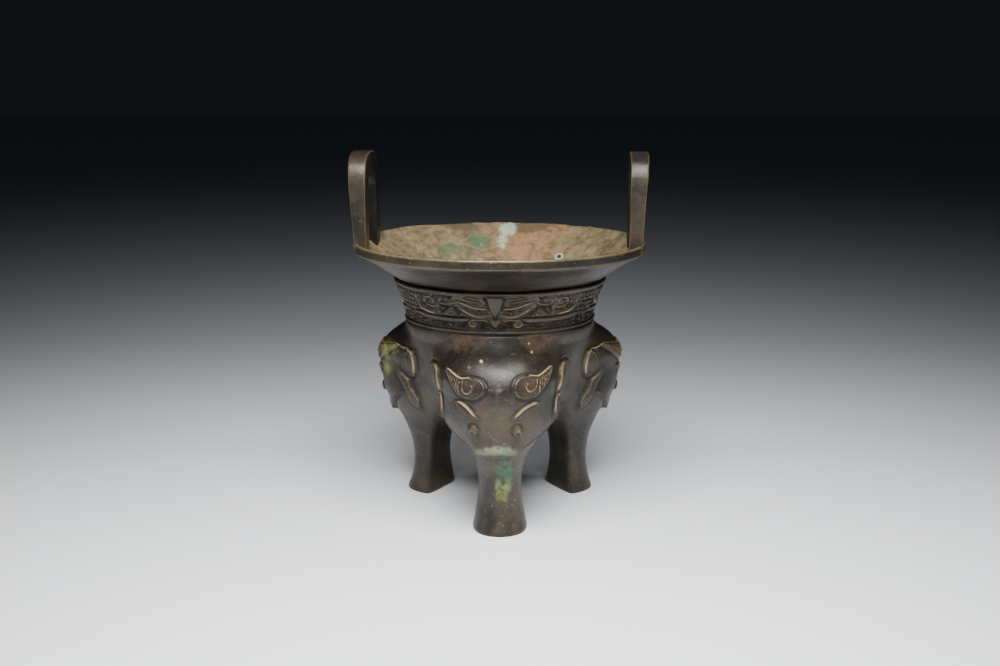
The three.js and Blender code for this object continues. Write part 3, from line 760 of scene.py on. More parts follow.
class DING_OT_lobes(bpy.types.Operator):
    """Builds the three masked lobes with their legs"""

    bl_idname = "ding.lobes"
    bl_label = "Masked lobes"

    def execute(self, context):
        size = sizes()
        body = Body(size)
        rows, columns = SKIN_ROWS // COARSE, SKIN_COLUMNS // COARSE
        even = np.linspace(-1, 1, columns, endpoint=False)
        share = even * (1 - CROWDING + CROWDING * even**2)
        down = curve(DOWN_STATIONS)(np.linspace(0, 1, rows))
        skin, edge = sector(body, share, down, 0.0)
        skin[0] = edge
        within, _ = sector(body, share, np.linspace(0.62, 0.012, HIDDEN_ROWS), SKIN_DEPTH)
        normals = body.normals(skin)
        turn = np.degrees(np.arctan2(skin[..., 1], skin[..., 0] - MASK_AXIS_SHARE * size.lobe_reach))
        level = skin[..., 2]
        z = level * DRAWN_BODY / size.body_height
        hold = step(down, 0, 0.03)[:, None]
        collar = COLLAR * step(z, *COLLAR_IN) * (1 - step(z, *COLLAR_OUT))
        foot_round = FOOT_ROUND * (1 - step(level, 0, 1.6))
        ahead, up = INNER_POLE_SHARES
        inner_pole = np.array([ahead * size.lobe_reach, 0, up * size.body_height])
        sole = np.array([float(body.middle(0)), 0, 0])
        blank = np.zeros(within.shape[:2])
        for piece, leg in LOBES.items():
            height, marks = carve_mask(turn, z, size.mask_relief, leg == 0)
            wave = CAST_WAVE * unevenness(turned(skin, 2 * HALF_SECTOR * leg), CAST_WAVELENGTH, 5)
            proud = height * hold + wave * step(level, 0, 8) + collar - foot_round
            carved = skin + normals * proud[..., None]
            carved[-1, :, 2] = 0
            rings = np.concatenate([within, carved])
            layers = {name: np.concatenate([blank, mark]) for name, mark in marks.items()}
            angle = 2 * HALF_SECTOR * leg + FRONT
            poles = turned(np.stack([inner_pole, sole]), angle)
            seam = (HIDDEN_ROWS, turned(normals[0], angle))
            ring_piece(piece, turned(rings, angle), layers, poles, seam)
        return {"FINISHED"}


# The neck band

MOTIF_CENTRE = -2.5
MM_PER_DEGREE = 1.143
VASE = (
    (0, 153), (1.6, 154.2), (3.9, 155), (4, 151), (3, 146), (1.6, 142.4), (0, 139.6), (-1.6, 142.4),
    (-3, 146), (-4, 151), (-3.9, 155), (-1.6, 154.2),
)
HEART = (
    (0, 138.4), (1.3, 139.4), (2.7, 138.6), (2.5, 136), (1.3, 133.8), (0, 132.8), (-1.3, 133.8),
    (-2.5, 136), (-2.7, 138.6), (-1.3, 139.4),
)
BROW = ((1.6, 143.2), (3.6, 145.2), (10.5, 146), (15.5, 148), (21.8, 151))
LID = ((2.6, 140.2), (9.5, 139.9), (15.5, 142.8), (20.8, 147.6))
PUPIL = (8.4, 143)
LASHES = (((7.2, 151), (12, 152.6), (17, 153.8)), ((6.2, 149), (12, 150.3), (18, 152.4)))
CURL = (
    (3.2, 137.4), (8, 138.1), (12.6, 137.9), (14.8, 136.2), (14, 134), (11.8, 133.6), (11, 135.2),
    (12.3, 136),
)
TAIL = ((15, 139), (22, 138.8), (38, 138.9), (50, 140), (53, 139.4), (51, 137.2), (38, 136.3), (18, 136.2))
HOOK = ((50, 148.2), (48.6, 144.6), (45, 141.9), (39.5, 140.8), (33.5, 140.6))
PANEL = ((19.6, 139.9), (32.5, 139.9), (24, 146.4))
SCROLL = ((20.5, 150.4), (24, 148.2), (29, 147.8), (31.5, 149.4), (30, 151.2), (27, 150.6))
# The ground of squared spirals and the slanted ones of the strip along the band's foot
SPIRAL_CELL, STRIP_CELL = (4.1, 3.1), (3.4, 2.6)
GROUND_FOOT, GROUND_TOP, STRIP_TOP = (131.6, 132.4), (153.4, 154), (135.6, 136.4)
CROWN = ((33, 146), (38, 145.2), (42, 147.2), (41, 150.5), (36.5, 151), (35.6, 148.4), (38, 147.8))


def band_radius(size, z):
    """The band's radius at a height: a straight slant that curves in a little between its lips."""
    share = (z - size.body_height - size.lip_height) / (size.band_height - 2 * size.lip_height)
    straight = size.band_foot_radius + share * (size.band_top_radius - size.band_foot_radius)
    return straight - size.band_hollow * 4 * share * (1 - share)


def squared_spirals(x, y, width, height):
    """Nested squares, between -1 and 1: cos(2.9 pi max(a, b)) over distances a and b from a cell's middle."""
    row = np.floor(y / height)
    a = 2 * np.abs((x / width + 0.5 * (row % 2)) % 1 - 0.5)
    b = 2 * np.abs((y / height) % 1 - 0.5)
    return np.cos(2.9 * math.pi * np.maximum(a, b))


def carve_band(turn, z, relief):
    """Relief of the band over degrees from a lobe's front and a height, one motif for each lobe, mirrored."""
    def laid(points):
        points = np.array(points, float)
        return np.stack([points[:, 0] * MM_PER_DEGREE, points[:, 1]], -1)

    sector_degrees = 360 / LEGS
    local = (turn - MOTIF_CENTRE + sector_degrees / 2) % sector_degrees - sector_degrees / 2
    half = np.abs(local)
    carving = Carving(half * MM_PER_DEGREE, z)
    carving.plate(laid(VASE), 1.3 * relief, edge=0.6, groove=0.3)
    carving.plate(laid(HEART), 1.4 * relief, edge=0.9, groove=0.3)
    carving.thread(laid(BROW), 1.6, 1.5 * relief, taper=0.25, crest_wear_and_sheen=0.45)
    carving.thread(laid(LID), 1.45, 1.4 * relief, taper=0.25, crest_wear_and_sheen=0.45)
    for lash in LASHES:
        carving.thread(laid(lash), 1.0, 1.1 * relief, taper=0.25, crest_wear_and_sheen=0.4)
    carving.boss(laid([PUPIL])[0], 1.3, 1.3 * relief, 0.0)
    carving.thread(laid(CURL), 1.05, 1.2 * relief, taper=0.1, crest_wear_and_sheen=0.5)
    carving.plate(laid(TAIL), 1.0 * relief, edge=0.6, groove=0.3)
    carving.thread(laid(HOOK), 1.5, 1.4 * relief, taper=0.3, crest_wear_and_sheen=0.6)
    carving.plate(laid(PANEL), 0.35 * relief, edge=0.5, groove=0.3, smooth=False)
    middle = np.mean(np.array(PANEL), 0)
    for inset in (0.82, 0.45):
        nested = [tuple(middle + inset * (np.array(corner) - middle)) for corner in PANEL + PANEL[:1]]
        carving.thread(laid(nested), 0.6, 0.8 * relief, taper=0, smooth=False, crest_wear_and_sheen=0.45)
    carving.thread(laid(SCROLL), 0.95, 1.0 * relief, crest_wear_and_sheen=0.4)
    carving.thread(laid(CROWN), 0.95, 1.0 * relief, crest_wear_and_sheen=0.4)
    height, wear, dirt, face = carving.layers()
    bare = 1 - carving.cover.reshape(height.shape)
    x = turn * MM_PER_DEGREE
    drift = 1.1 * np.sin(0.9 * x) * np.sin(1.1 * z + 0.3 * x) + 0.5 * np.sin(0.37 * x)
    strip = 1 - step(z, *STRIP_TOP)
    ground = squared_spirals(x + drift, z, *SPIRAL_CELL) * (1 - strip)
    ground = ground + squared_spirals(x + 0.9 * z + drift, z - 0.22 * x, *STRIP_CELL) * strip
    room = step(z, *GROUND_FOOT) * (1 - step(z, *GROUND_TOP))
    height = height + 0.5 * relief * ground * bare * room
    wear = np.maximum(wear, 0.3 * step(ground, 0.5, 1) * bare * room)
    dirt = np.maximum(dirt, 0.75 * step(-ground, 0.1, 0.9) * bare * room)
    return height, {"wear": wear, "dirt": dirt, "face": 0.8 * face}


BAND_ROWS, BAND_COLUMNS = 72, 900
# Turned profiles of the two lips and of the hidden side: out from the band and up from its top or its foot
UPPER_LIP = ((-3.2, 0.5), (0.3, 0.5), (0.75, 0.3), (1.1, -0.2), (1.1, -0.8), (0.8, -1.3), (0.3, -1.55))
LOWER_LIP = ((1.1, 0.7), (0.9, 0.2), (0.5, 0), (-1.4, -0.2))
BEHIND_FOOT = ((-2.2, 1), (-1.2, 11))
BEHIND_TOP = ((-4.4, -2), (-3.6, 0))
LIP_WEAR = 0.2


def profile_at(radius, z, offsets):
    """Profile points at offsets from a radius and a height."""
    return [(radius + out, z + up) for out, up in offsets]


class DING_OT_band(bpy.types.Operator):
    """Builds the neck band with its carving and its two lips"""

    bl_idname = "ding.band"
    bl_label = "Neck band"

    def execute(self, context):
        size = sizes()
        rows, columns = BAND_ROWS // COARSE, BAND_COLUMNS // COARSE
        foot, top, lip = size.body_height, size.band_top, size.lip_height
        foot_radius, top_radius = size.band_foot_radius, size.band_top_radius
        carved_z = np.linspace(top - lip + 0.3, foot + lip + 0.1, rows)
        plain = np.stack([band_radius(size, carved_z), carved_z], -1)
        above = profile_at(top_radius, top, UPPER_LIP)
        lower_lip_top = ((0.25, lip), (0.7, lip - 0.25), (1.05, lip - 0.7))
        below = profile_at(foot_radius, foot, lower_lip_top + LOWER_LIP)
        behind = profile_at(foot_radius, foot, BEHIND_FOOT) + profile_at(top_radius, top, BEHIND_TOP)
        radius, z = np.concatenate([above, plain, below, behind]).T
        angle = np.linspace(0, 2 * math.pi, columns, endpoint=False)
        plane_turn, plane_z = np.meshgrid(np.degrees(angle - FRONT), carved_z * DRAWN_BODY / size.body_height)
        height, marks = carve_band(plane_turn, plane_z, size.band_relief)
        carved = slice(len(above), len(above) + rows)
        upper_fade = 1 - step(carved_z, top - lip - 0.6, top - lip)
        fade = (step(carved_z, foot + lip, foot + lip + 0.8) * upper_fade)[:, None]
        proud = np.zeros((len(z), columns))
        proud[carved] = height * fade
        layers = {name: np.zeros_like(proud) for name in marks}
        for name, mark in marks.items():
            layers[name][carved] = mark * fade
        under_lip = 1 - step(np.abs(carved_z - foot - lip), 0.2, 1.2)
        layers["dirt"][carved] = np.maximum(layers["dirt"][carved], under_lip[:, None])
        layers["wear"][1 : carved.start] = LIP_WEAR
        layers["wear"][carved.stop : carved.stop + len(below) - 1] = LIP_WEAR
        middle = radius[:, None] + proud
        rings = np.stack([middle * np.cos(angle), middle * np.sin(angle), z[:, None] + 0 * middle], -1)
        swell = 0.18 * unevenness(rings, 30, 8)
        rings[..., :2] *= (1 + (swell - 0.2) / middle)[..., None]
        ring_piece("neck_band", rings, layers)
        return {"FINISHED"}


# The mouth and the hollow

MOUTH_INSIDE = ((0, 0), (0.16, 0.11), (0.36, 0.3), (0.58, 0.53), (0.79, 0.77), (1, 1))
MOUTH_UNDERSIDE = ((0.04, -0.06), (0.24, 0.14), (0.46, 0.36), (0.68, 0.58), (0.85, 0.8), (1, 1))
RIM_ROUND = 0.9
THROAT_DROP = 0.1
# How far the funnel's top stands in from the rim
INNER_LIP = 1.2
MOUTH_COLUMNS = 360
INSIDE_PARTS = ("floor", "hollow", "neck", "funnel")
OUTSIDE_PARTS = ("inner_corner", "upper_corner", "edge", "lower_corner", "underside")
RIM_WEAR = {"inner_corner": 0.45, "upper_corner": 0.45, "edge": 0.16, "lower_corner": 0.3}


def throat(size):
    """Radius and height where the straight neck opens into the mouth."""
    return size.band_top_radius - size.neck_wall - 0.8, size.band_top - THROAT_DROP * size.band_height


def mouth_inside(size, shares):
    """The funnel's radius and height, from the throat to the rim."""
    radius, z = throat(size)
    lip = size.rim_radius - INNER_LIP
    return radius + curve(MOUTH_INSIDE)(shares) * (lip - radius), z + shares * (size.rim_top - z)


def mouth_underside(size, shares):
    """The flare's underside, from the band's top to the foot of the rim's edge."""
    out = curve(MOUTH_UNDERSIDE)(shares) * (size.rim_radius - size.band_top_radius)
    up = shares * (size.rim_top - size.rim_edge - size.band_top)
    return size.band_top_radius + out, size.band_top + up


def corner(radius, z, start, end, steps=5):
    """A quarter round of the rim about a middle point, between two directions in degrees."""
    angle = np.linspace(math.radians(start), math.radians(end), steps)
    return radius + RIM_ROUND * np.cos(angle), z + RIM_ROUND * np.sin(angle)


def wall_rings(body, heights, directions, depth):
    """Rings at a depth in the body's wall: level rays from the axis, as radii and heights."""
    source = np.stack([0 * heights, 0 * heights, heights], -1)[:, None]
    ray = np.stack([np.cos(directions), np.sin(directions), 0 * directions], -1)[None]
    place = body.cast(source, ray, depth)
    return np.hypot(place[..., 0], place[..., 1]), heights[:, None] + 0 * directions


class DING_OT_mouth(bpy.types.Operator):
    """Builds the flared mouth with its rim and the hollow down to the belly's floor"""

    bl_idname = "ding.mouth"
    bl_label = "Mouth and hollow"

    def execute(self, context):
        size = sizes()
        body = Body(size)
        columns = MOUTH_COLUMNS // COARSE
        angle = np.linspace(0, 2 * math.pi, columns, endpoint=False)
        floor = body.floor + size.body_wall
        neck_foot = size.body_height - size.body_wall
        neck_hollow = size.band_foot_radius - size.body_wall
        rim, rim_top, edge_foot = size.rim_radius, size.rim_top, size.rim_top - size.rim_edge
        throat_radius, throat_z = throat(size)

        def ringed(radius, z):
            """Plain rings from a turned profile."""
            radius, z = np.broadcast_arrays(np.asarray(radius, float), np.asarray(z, float))
            return radius[:, None] + np.zeros(columns), z[:, None] + np.zeros(columns)

        lobed = angle - FRONT
        hollow, hollow_z = wall_rings(body, np.linspace(floor, neck_foot, 22), lobed, size.body_wall)
        floor_shares = np.linspace(0.12, 0.94, 7)[:, None]
        neck_z = np.linspace(neck_foot + 3, throat_z - 2, 9)
        straight_top = size.body_height + 0.3 * size.band_height
        neck_line = curve(
            [(neck_foot + 3, neck_hollow), (straight_top, neck_hollow), (throat_z, throat_radius)])
        behind = [(size.band_top_radius - 3, size.band_top), (neck_hollow + 2.6, size.body_height + 8),
                  (neck_hollow + 1.2, neck_foot + 3)]
        parts = {
            "floor": (floor_shares * hollow[:1], 0 * floor_shares * hollow[:1] + floor),
            "hollow": (hollow, hollow_z),
            "neck": ringed(neck_line(neck_z), neck_z),
            "funnel": ringed(*mouth_inside(size, np.linspace(0, 1, 40) ** 0.9)),
            "inner_corner": ringed(*corner(rim - RIM_ROUND, rim_top - RIM_ROUND, 120, 90, 3)),
            "upper_corner": ringed(*corner(rim - RIM_ROUND, rim_top - RIM_ROUND, 85, 0)),
            "edge": ringed(rim, np.linspace(rim_top - 1.8, edge_foot + 1.6, 8)),
            "lower_corner": ringed(*corner(rim - RIM_ROUND, edge_foot + RIM_ROUND, 0, -80)),
            "underside": ringed(*mouth_underside(size, np.linspace(0.97, 0.04, 26))),
            "behind": ringed(*np.array(behind).T),
            "hidden": wall_rings(body, np.linspace(neck_foot, floor - 1, 12), lobed, size.body_wall - 1),
        }
        radius, z = [np.concatenate(values) for values in zip(*parts.values())]
        part = np.repeat(list(parts), [len(values[0]) for values in parts.values()])
        rings = np.stack([radius * np.cos(angle), radius * np.sin(angle), z], -1)
        outside = np.isin(part, OUTSIDE_PARTS)
        dents = (unevenness(rings, 22, 3) * 0.2 - 0.35) * outside[:, None]
        rings[..., :2] *= (1 + dents / np.maximum(radius, 1))[..., None]
        above_hollow = np.isin(part, ("neck", "funnel"))
        rings[..., 2] += 0.25 * unevenness(rings, 14, 9) * above_hollow[:, None]
        wear = np.array([RIM_WEAR.get(name, 0) for name in part])[:, None] + np.zeros(columns)
        inside = np.isin(part, INSIDE_PARTS)[:, None] + np.zeros(columns)
        poles = np.array([(0, 0, floor), (0, 0, floor - 1)])
        ring_piece("mouth_and_hollow", rings, {"inside": inside, "wear": wear, "dirt": 0 * wear}, poles)
        return {"FINISHED"}


# The handles


HANDLE_ROWS, HANDLE_COLUMNS = 150, 96
ARCH_POWER = 2.7
# The share of a handle's outline that each upright side takes
UPRIGHT = 0.3
OUTER_SHOULDER, INNER_SHOULDER = 0.46, 0.42
# How far a handle's feet go into the funnel's wall
SUNK = 2.2


def arch(width, top, shoulder, foot, shares):
    """A handle's outline: upright sides to the shoulder, then a squarish round top, |x|^2.7 + |y|^2.7 = 1."""
    power = 2 / ARCH_POWER
    climb = np.clip(shares / UPRIGHT, 0, 1)
    descend = np.clip((shares - 1 + UPRIGHT) / UPRIGHT, 0, 1)
    angle = math.pi * np.clip((shares - UPRIGHT) / (1 - 2 * UPRIGHT), 0, 1)
    across = np.sign(np.cos(angle)) * np.abs(np.cos(angle)) ** power * width / 2
    up = shoulder + (top - shoulder) * np.clip(np.sin(angle), 0, 1) ** power
    up = np.where(shares < UPRIGHT, foot + climb * (shoulder - foot), up)
    up = np.where(shares > 1 - UPRIGHT, shoulder + descend * (foot - shoulder), up)
    return across, up


def strap_section(steps, round_share):
    """A rounded rectangle about the middle, each way from -1 to 1: |p|^n + |q|^n = 1 with a high n."""
    angle = np.linspace(0, 2 * math.pi, steps, endpoint=False)
    power = 2 / round_share
    return (
        np.sign(np.cos(angle)) * np.abs(np.cos(angle)) ** power,
        np.sign(np.sin(angle)) * np.abs(np.sin(angle)) ** power,
    )


class DING_OT_handles(bpy.types.Operator):
    """Builds the two upright handles on the rim"""

    bl_idname = "ding.handles"
    bl_label = "Handles"

    def execute(self, context):
        size = sizes()
        rows, columns = HANDLE_ROWS // COARSE, HANDLE_COLUMNS // COARSE
        shares = np.linspace(0, 1, rows)
        top = size.rim_top + size.handle_rise
        loop_top = size.rim_top + size.loop_rise
        foot = size.rim_top - size.rim_edge - 1
        outside = arch(size.handle_width, top, top - OUTER_SHOULDER * size.handle_width, foot, shares)
        inside = arch(size.loop_width, loop_top, loop_top - INNER_SHOULDER * size.loop_width, foot, shares)
        p, q = strap_section(columns, 14)
        outward = ((1 + p) / 2)[None]
        across = inside[0][:, None] * (1 - outward) + outside[0][:, None] * outward
        up = inside[1][:, None] * (1 - outward) + outside[1][:, None] * outward
        lean = np.clip((up - size.rim_top) / size.handle_rise, 0, 1)
        thickness = size.handle_foot + lean * (size.handle_top - size.handle_foot)
        inner_face = size.rim_radius - size.handle_setback - size.handle_foot
        radius = inner_face + thickness * ((1 + q) / 2)[None]
        funnel_radius, funnel_z = mouth_inside(size, np.linspace(0, 1, 40))
        seat = np.interp(radius, funnel_radius, funnel_z) - SUNK
        rooted = np.maximum(up, seat)
        strap = np.stack([radius, across, rooted], -1)
        ends = np.stack([strap[0].mean(0), strap[-1].mean(0)])
        brink = (np.abs(p) ** 9 * np.abs(q) ** 9) ** 0.5
        wear = (0.45 * (brink / brink.max()) ** 2 * (p > 0))[None] + 0 * up
        for name, side in (("right_handle", 0), ("left_handle", math.pi)):
            rings = turned(strap, size.handle_turn + side)
            inward = rings.mean(1, keepdims=True) - rings
            inward /= np.linalg.norm(inward, axis=-1, keepdims=True)
            rings = rings + inward * (0.16 + 0.14 * unevenness(rings, 16, 11))[..., None]
            poles = turned(ends, size.handle_turn + side)
            ring_piece(name, rings, {"wear": wear, "dirt": 0 * wear}, poles)
        return {"FINISHED"}


# Materials


class Wire:
    """A socket of a shader tree. Plus, minus and times on it, either way round, add Math nodes."""

    def __init__(self, paint, socket):
        self.paint = paint
        self.socket = socket

    def math(self, operation, first, second):
        """A Math node on two values or sockets."""
        return self.paint.node("ShaderNodeMath", {"operation": operation}, {0: first, 1: second})

    def __add__(self, other):
        return self.math("ADD", self, other)

    def __sub__(self, other):
        return self.math("SUBTRACT", self, other)

    def __mul__(self, other):
        return self.math("MULTIPLY", self, other)

    def __radd__(self, other):
        return self.math("ADD", other, self)

    def __rsub__(self, other):
        return self.math("SUBTRACT", other, self)

    def __rmul__(self, other):
        return self.math("MULTIPLY", other, self)

    def larger(self, other):
        """The larger of this and another."""
        return self.math("MAXIMUM", self, other)

    def rise(self, low, high):
        """0 at low, 1 at high and smooth between them; low may be the larger."""
        sockets = {0: self, 1: low, 2: high, 3: 0.0, 4: 1.0}
        return self.paint.node("ShaderNodeMapRange", {"interpolation_type": "SMOOTHSTEP"}, sockets)


class Paint:
    """The shader tree of one material."""

    def __init__(self, name):
        self.material = bpy.data.materials.new(name)
        self.material.use_nodes = True
        self.tree = self.material.node_tree
        self.tree.nodes.clear()

    def node(self, kind, settings=None, inputs=None, output=0):
        """Any node: its type, its settings and the values or links of its sockets."""
        made = self.tree.nodes.new(kind)
        for key, value in (settings or {}).items():
            setattr(made, key, value)
        for key, value in (inputs or {}).items():
            if isinstance(value, Wire):
                self.tree.links.new(value.socket, made.inputs[key])
            else:
                made.inputs[key].default_value = value
        return Wire(self, made.outputs[output]) if made.outputs else None

    def place(self):
        """Object coordinates, in metres."""
        return self.node("ShaderNodeTexCoord", output="Object")

    def layer(self, name):
        """A named value of the mesh."""
        return self.node("ShaderNodeAttribute", {"attribute_name": name}, output="Fac")

    def noise(self, place, millimetres, detail=3.0, roughness=0.55, distortion=0.0):
        """Noise with features of about a given size."""
        return self.node("ShaderNodeTexNoise", {}, {
            "Vector": place, "Scale": 1 / (millimetres * MM), "Detail": detail, "Roughness": roughness,
            "Distortion": distortion})

    def mix(self, factor, first, second):
        """One colour into another."""
        first, second = [tone if isinstance(tone, Wire) else (*tone, 1.0) for tone in (first, second)]
        return self.node("ShaderNodeMix", {"data_type": "RGBA"}, {0: factor, 6: first, 7: second}, 2)

    def patch(self, place, centre, reach, ragged):
        """A rough spot: 1 about a centre and 0 outside its reach, both in millimetres."""
        location, scale = [value * MM for value in centre], [value * MM for value in reach]
        local = self.node("ShaderNodeMapping", {"vector_type": "TEXTURE"}, {
            "Vector": place, "Location": location, "Scale": scale})
        away = self.node("ShaderNodeVectorMath", {"operation": "LENGTH"}, {0: local}, "Value")
        return (away + ragged).rise(1.2, 0.55)

    def bump(self, height, distance, strength, normal=None):
        """Fine unevenness of the surface, in millimetres."""
        inputs = {"Height": height, "Distance": distance * MM, "Strength": strength}
        if normal is not None:
            inputs["Normal"] = normal
        return self.node("ShaderNodeBump", {}, inputs)

    def finish(self, sockets):
        """The shader itself, with plain values on its sockets or links into them."""
        shader = self.node("ShaderNodeBsdfPrincipled", {}, sockets)
        self.node("ShaderNodeOutputMaterial", {}, {"Surface": shader})
        return self.material


# Patches of corrosion: colour, centre and reach in millimetres, and strength
OUTER_PATCHES = (
    ("red_bronze", (-22, -62, 124), (14, 12, 7), 0.8),
    ("red_bronze", (28, -62, 124), (14, 12, 7), 0.8),
    ("verdigris", (2, -66, 45), (6, 14, 8), 1.0),
    ("verdigris", (3, -68, 37), (5, 14, 8), 0.8),
    ("yellow_crust", (2, -68, 31), (5, 14, 9), 0.55),
    ("verdigris", (-3, -76, 59), (17, 16, 6), 0.6),
    # The pale patch on the snout is partly crust and partly a painted highlight.
    ("pale_crust", (-3, -82, 61.5), (11, 10, 3), 0.35),
    ("yellow_crust", (-72, 14, 103), (10, 18, 8), 0.8),
    ("yellow_crust", (-76, 16, 92), (5, 14, 6), 0.7),
    ("yellow_crust", (19.6, -80, 85.4), (1.8, 3, 1.8), 1.2),
    ("worn_gold_and_sheen", (-11.3, -77, 115.5), (1.1, 3, 0.9), 1.0),
    ("worn_gold_and_sheen", (19.7, -68, 119), (0.8, 4, 0.8), 1.0),
    ("worn_gold_and_sheen", (18, -63, 123.5), (0.7, 4, 0.7), 1.0),
)
INNER_PATCHES = (
    ("verdigris", (-14, 80, 168), (8.5, 10, 7.5), 0.8),
    ("pale_crust", (-13, 79, 166), (2, 4, 1.6), 1.2),
    ("verdigris", (-38, 68, 163), (14, 14, 5), 0.6),
    ("verdigris", (48, 70, 169), (10, 12, 4), 0.4),
    ("pale_crust", (5, 90, 175), (6.5, 10, 4.6), 0.85),
    ("pale_crust", (2, 80, 168), (4.4, 9, 5.6), 0.8),
)


RUSTY_REACH = ((20, 84, 168), (40, 40, 24))
RIM_SHADES = (((-36, 88, 178), (24, 7, 5)), ((24, 88, 178), (24, 7, 5)))
PALE_RING = ((42, 56, 160.5), (3.4, 4.5, 3))
RING_CORE = ((42, 56, 160.5), (1.9, 3, 1.6))
# The hollow darkens between these heights in metres
DARK_FROM, DARK_BELOW = 0.16, 0.12


def outer_skin(paint, place, grains, ragged):
    """The colour of the outside and how much of it is corroded: patina, worn gold with painted highlights,
    dirt, specks and patches.
    """
    broad, mottled, speckled, grain = grains
    tones = bpy.context.scene.ding_finish
    wear = paint.layer("wear")
    skin = paint.mix((broad * 0.6 + speckled * 0.4).rise(0.4, 0.6), tones.dark_bronze, tones.brown_bronze)
    skin = paint.mix((mottled + 0.6 * (broad - 0.5)).rise(0.54, 0.74) * 0.4, skin, tones.red_bronze)
    skin = paint.mix(grain.rise(0.56, 0.7) * 0.45, skin, tones.dark_bronze)
    skin = paint.mix(paint.layer("face") * (0.35 * speckled), skin, tones.red_bronze)
    # Worn gold goes where the layer says: rubbed edges, and painted highlights on edges, the nostrils and the
    # snout.
    skin = paint.mix((wear * (grain * 0.9 + 0.55)).rise(0.15, 1.0) * 0.85, skin, tones.worn_gold_and_sheen)
    skin = paint.mix(paint.layer("dirt") * 0.85, skin, tones.recess)
    specks = paint.noise(place, 1.5, 2.0)
    skin = paint.mix(specks.rise(0.66, 0.74) * 0.35, skin, tones.worn_gold_and_sheen)
    crust = 0.0
    for tone, centre, reach, share in OUTER_PATCHES:
        spot = paint.patch(place, centre, reach, ragged) * (speckled + 0.4 * grain).rise(0.5, 0.85) * share
        skin = paint.mix(spot, skin, getattr(tones, tone))
        crust = spot.larger(crust)
    return skin, crust


def inner_earth(paint, place, grains, ragged):
    """The colour of the mouth and the hollow: beige and rusty earth with green and white crust."""
    _, mottled, speckled, grain = grains
    tones = bpy.context.scene.ding_finish
    clods = 0.5 * mottled + 0.5 * speckled
    earth = paint.mix(clods.rise(0.36, 0.66), tones.olive_earth, tones.pale_earth)
    rusty = paint.patch(place, *RUSTY_REACH, ragged)
    earth = paint.mix(rusty * clods.rise(0.4, 0.58) * 0.85, earth, tones.rust_earth)
    earth = paint.mix(grain.rise(0.5, 0.68) * 0.5, earth, tones.olive_earth)
    for centre, reach in RIM_SHADES:
        earth = paint.mix(paint.patch(place, centre, reach, ragged) * 0.85, earth, tones.olive_earth)
    for tone, centre, reach, share in INNER_PATCHES:
        density = (speckled + 0.4 * grain).rise(0.45, 0.75) * share
        spot = paint.patch(place, centre, reach, ragged * 1.5) * density
        earth = paint.mix(spot, earth, getattr(tones, tone))
    height = paint.node("ShaderNodeSeparateXYZ", {}, {0: place}, "Z")
    earth = paint.mix(height.rise(DARK_FROM, DARK_BELOW) * 0.75, earth, tones.dark_bronze)
    earth = paint.mix(paint.patch(place, *PALE_RING, ragged * 0.3), earth, tones.pale_crust)
    return paint.mix(paint.patch(place, *RING_CORE, ragged * 0.3), earth, tones.dark_bronze)


def bronze_finish():
    """Dark brown bronze: mottled patina, worn golden edges with painted highlights, dirty grooves, corrosion
    and an earthy mouth.
    """
    name = "bronze_patina"
    if name in bpy.data.materials:
        return bpy.data.materials[name]
    paint = Paint(name)
    place = paint.place()
    broad = paint.noise(place, 46, 3.0, 0.6)
    mottled = paint.noise(place, 13, 5.0, 0.62, 0.6)
    speckled = paint.noise(place, 5, 6.0, 0.7)
    grain = paint.noise(place, 2.2, 4.0, 0.65)
    fine = paint.noise(place, 0.7, 2.0)
    ragged = (mottled - 0.5) * 1.6 + (grain - 0.5) * 0.9
    grains = (broad, mottled, speckled, grain)
    inside = paint.layer("inside")
    skin, crust = outer_skin(paint, place, grains, ragged)
    earth = inner_earth(paint, place, grains, ragged)
    bare = (1 - crust) * (1 - inside)
    roughness = 0.27 + 0.14 * mottled + 0.12 * grain + 0.16 * paint.layer("dirt") + 0.34 * (1 - bare)
    relief = None
    bumps = ((mottled, 0.5, 0.2), (speckled, 0.3, 0.3), (grain, 0.3, 0.6), (fine, 0.08, 0.5))
    for height, distance, strength in bumps:
        relief = paint.bump(height, distance, strength, relief)
    return paint.finish({
        "Base Color": paint.mix(inside, skin, earth), "Metallic": 0.04 + 0.34 * bare,
        "Roughness": roughness - 0.04 * paint.layer("wear"), "Normal": relief, "Specular IOR Level": 0.55})


def floor_finish():
    """Plain pale floor."""
    tones = bpy.context.scene.ding_finish
    paint = Paint("pale_floor")
    return paint.finish({"Base Color": (*tones.floor, 1.0), "Roughness": 0.85, "Specular IOR Level": 0.2})


# The stage

FLOOR_HALF = 8.0
WORLD_COLOUR = (0.007, 0.008, 0.0105, 1)
CAMERA_PLACE = (0.0001, -0.79187, 0.2848)
CAMERA_TILT = math.radians(78.025)
CAMERA_LENS = 43.41
SENSOR = 36
LIGHT_SPREAD = math.radians(80)
# Each lamp's name, place, the point it looks at, its width and height, and its power
LIGHTS = (
    ("key_front", (0, -0.8, 0.98), (0, -0.1, 0.12), (0.7, 0.3), 2.4),
    ("key_above", (0, -0.4, 0.78), (0, -0.3, 0), (0.6, 0.35), 4.3),
    ("fill_front", (0, -1.6, 0.6), (0, 0, 0.12), (0.8, 0.4), 0.6),
    ("fill_left", (-1.2, -0.35, 0.55), (0, 0, 0.12), (0.35, 0.8), 0.8),
    ("fill_right", (1.2, -0.35, 0.55), (0, 0, 0.12), (0.35, 0.8), 0.8),
)


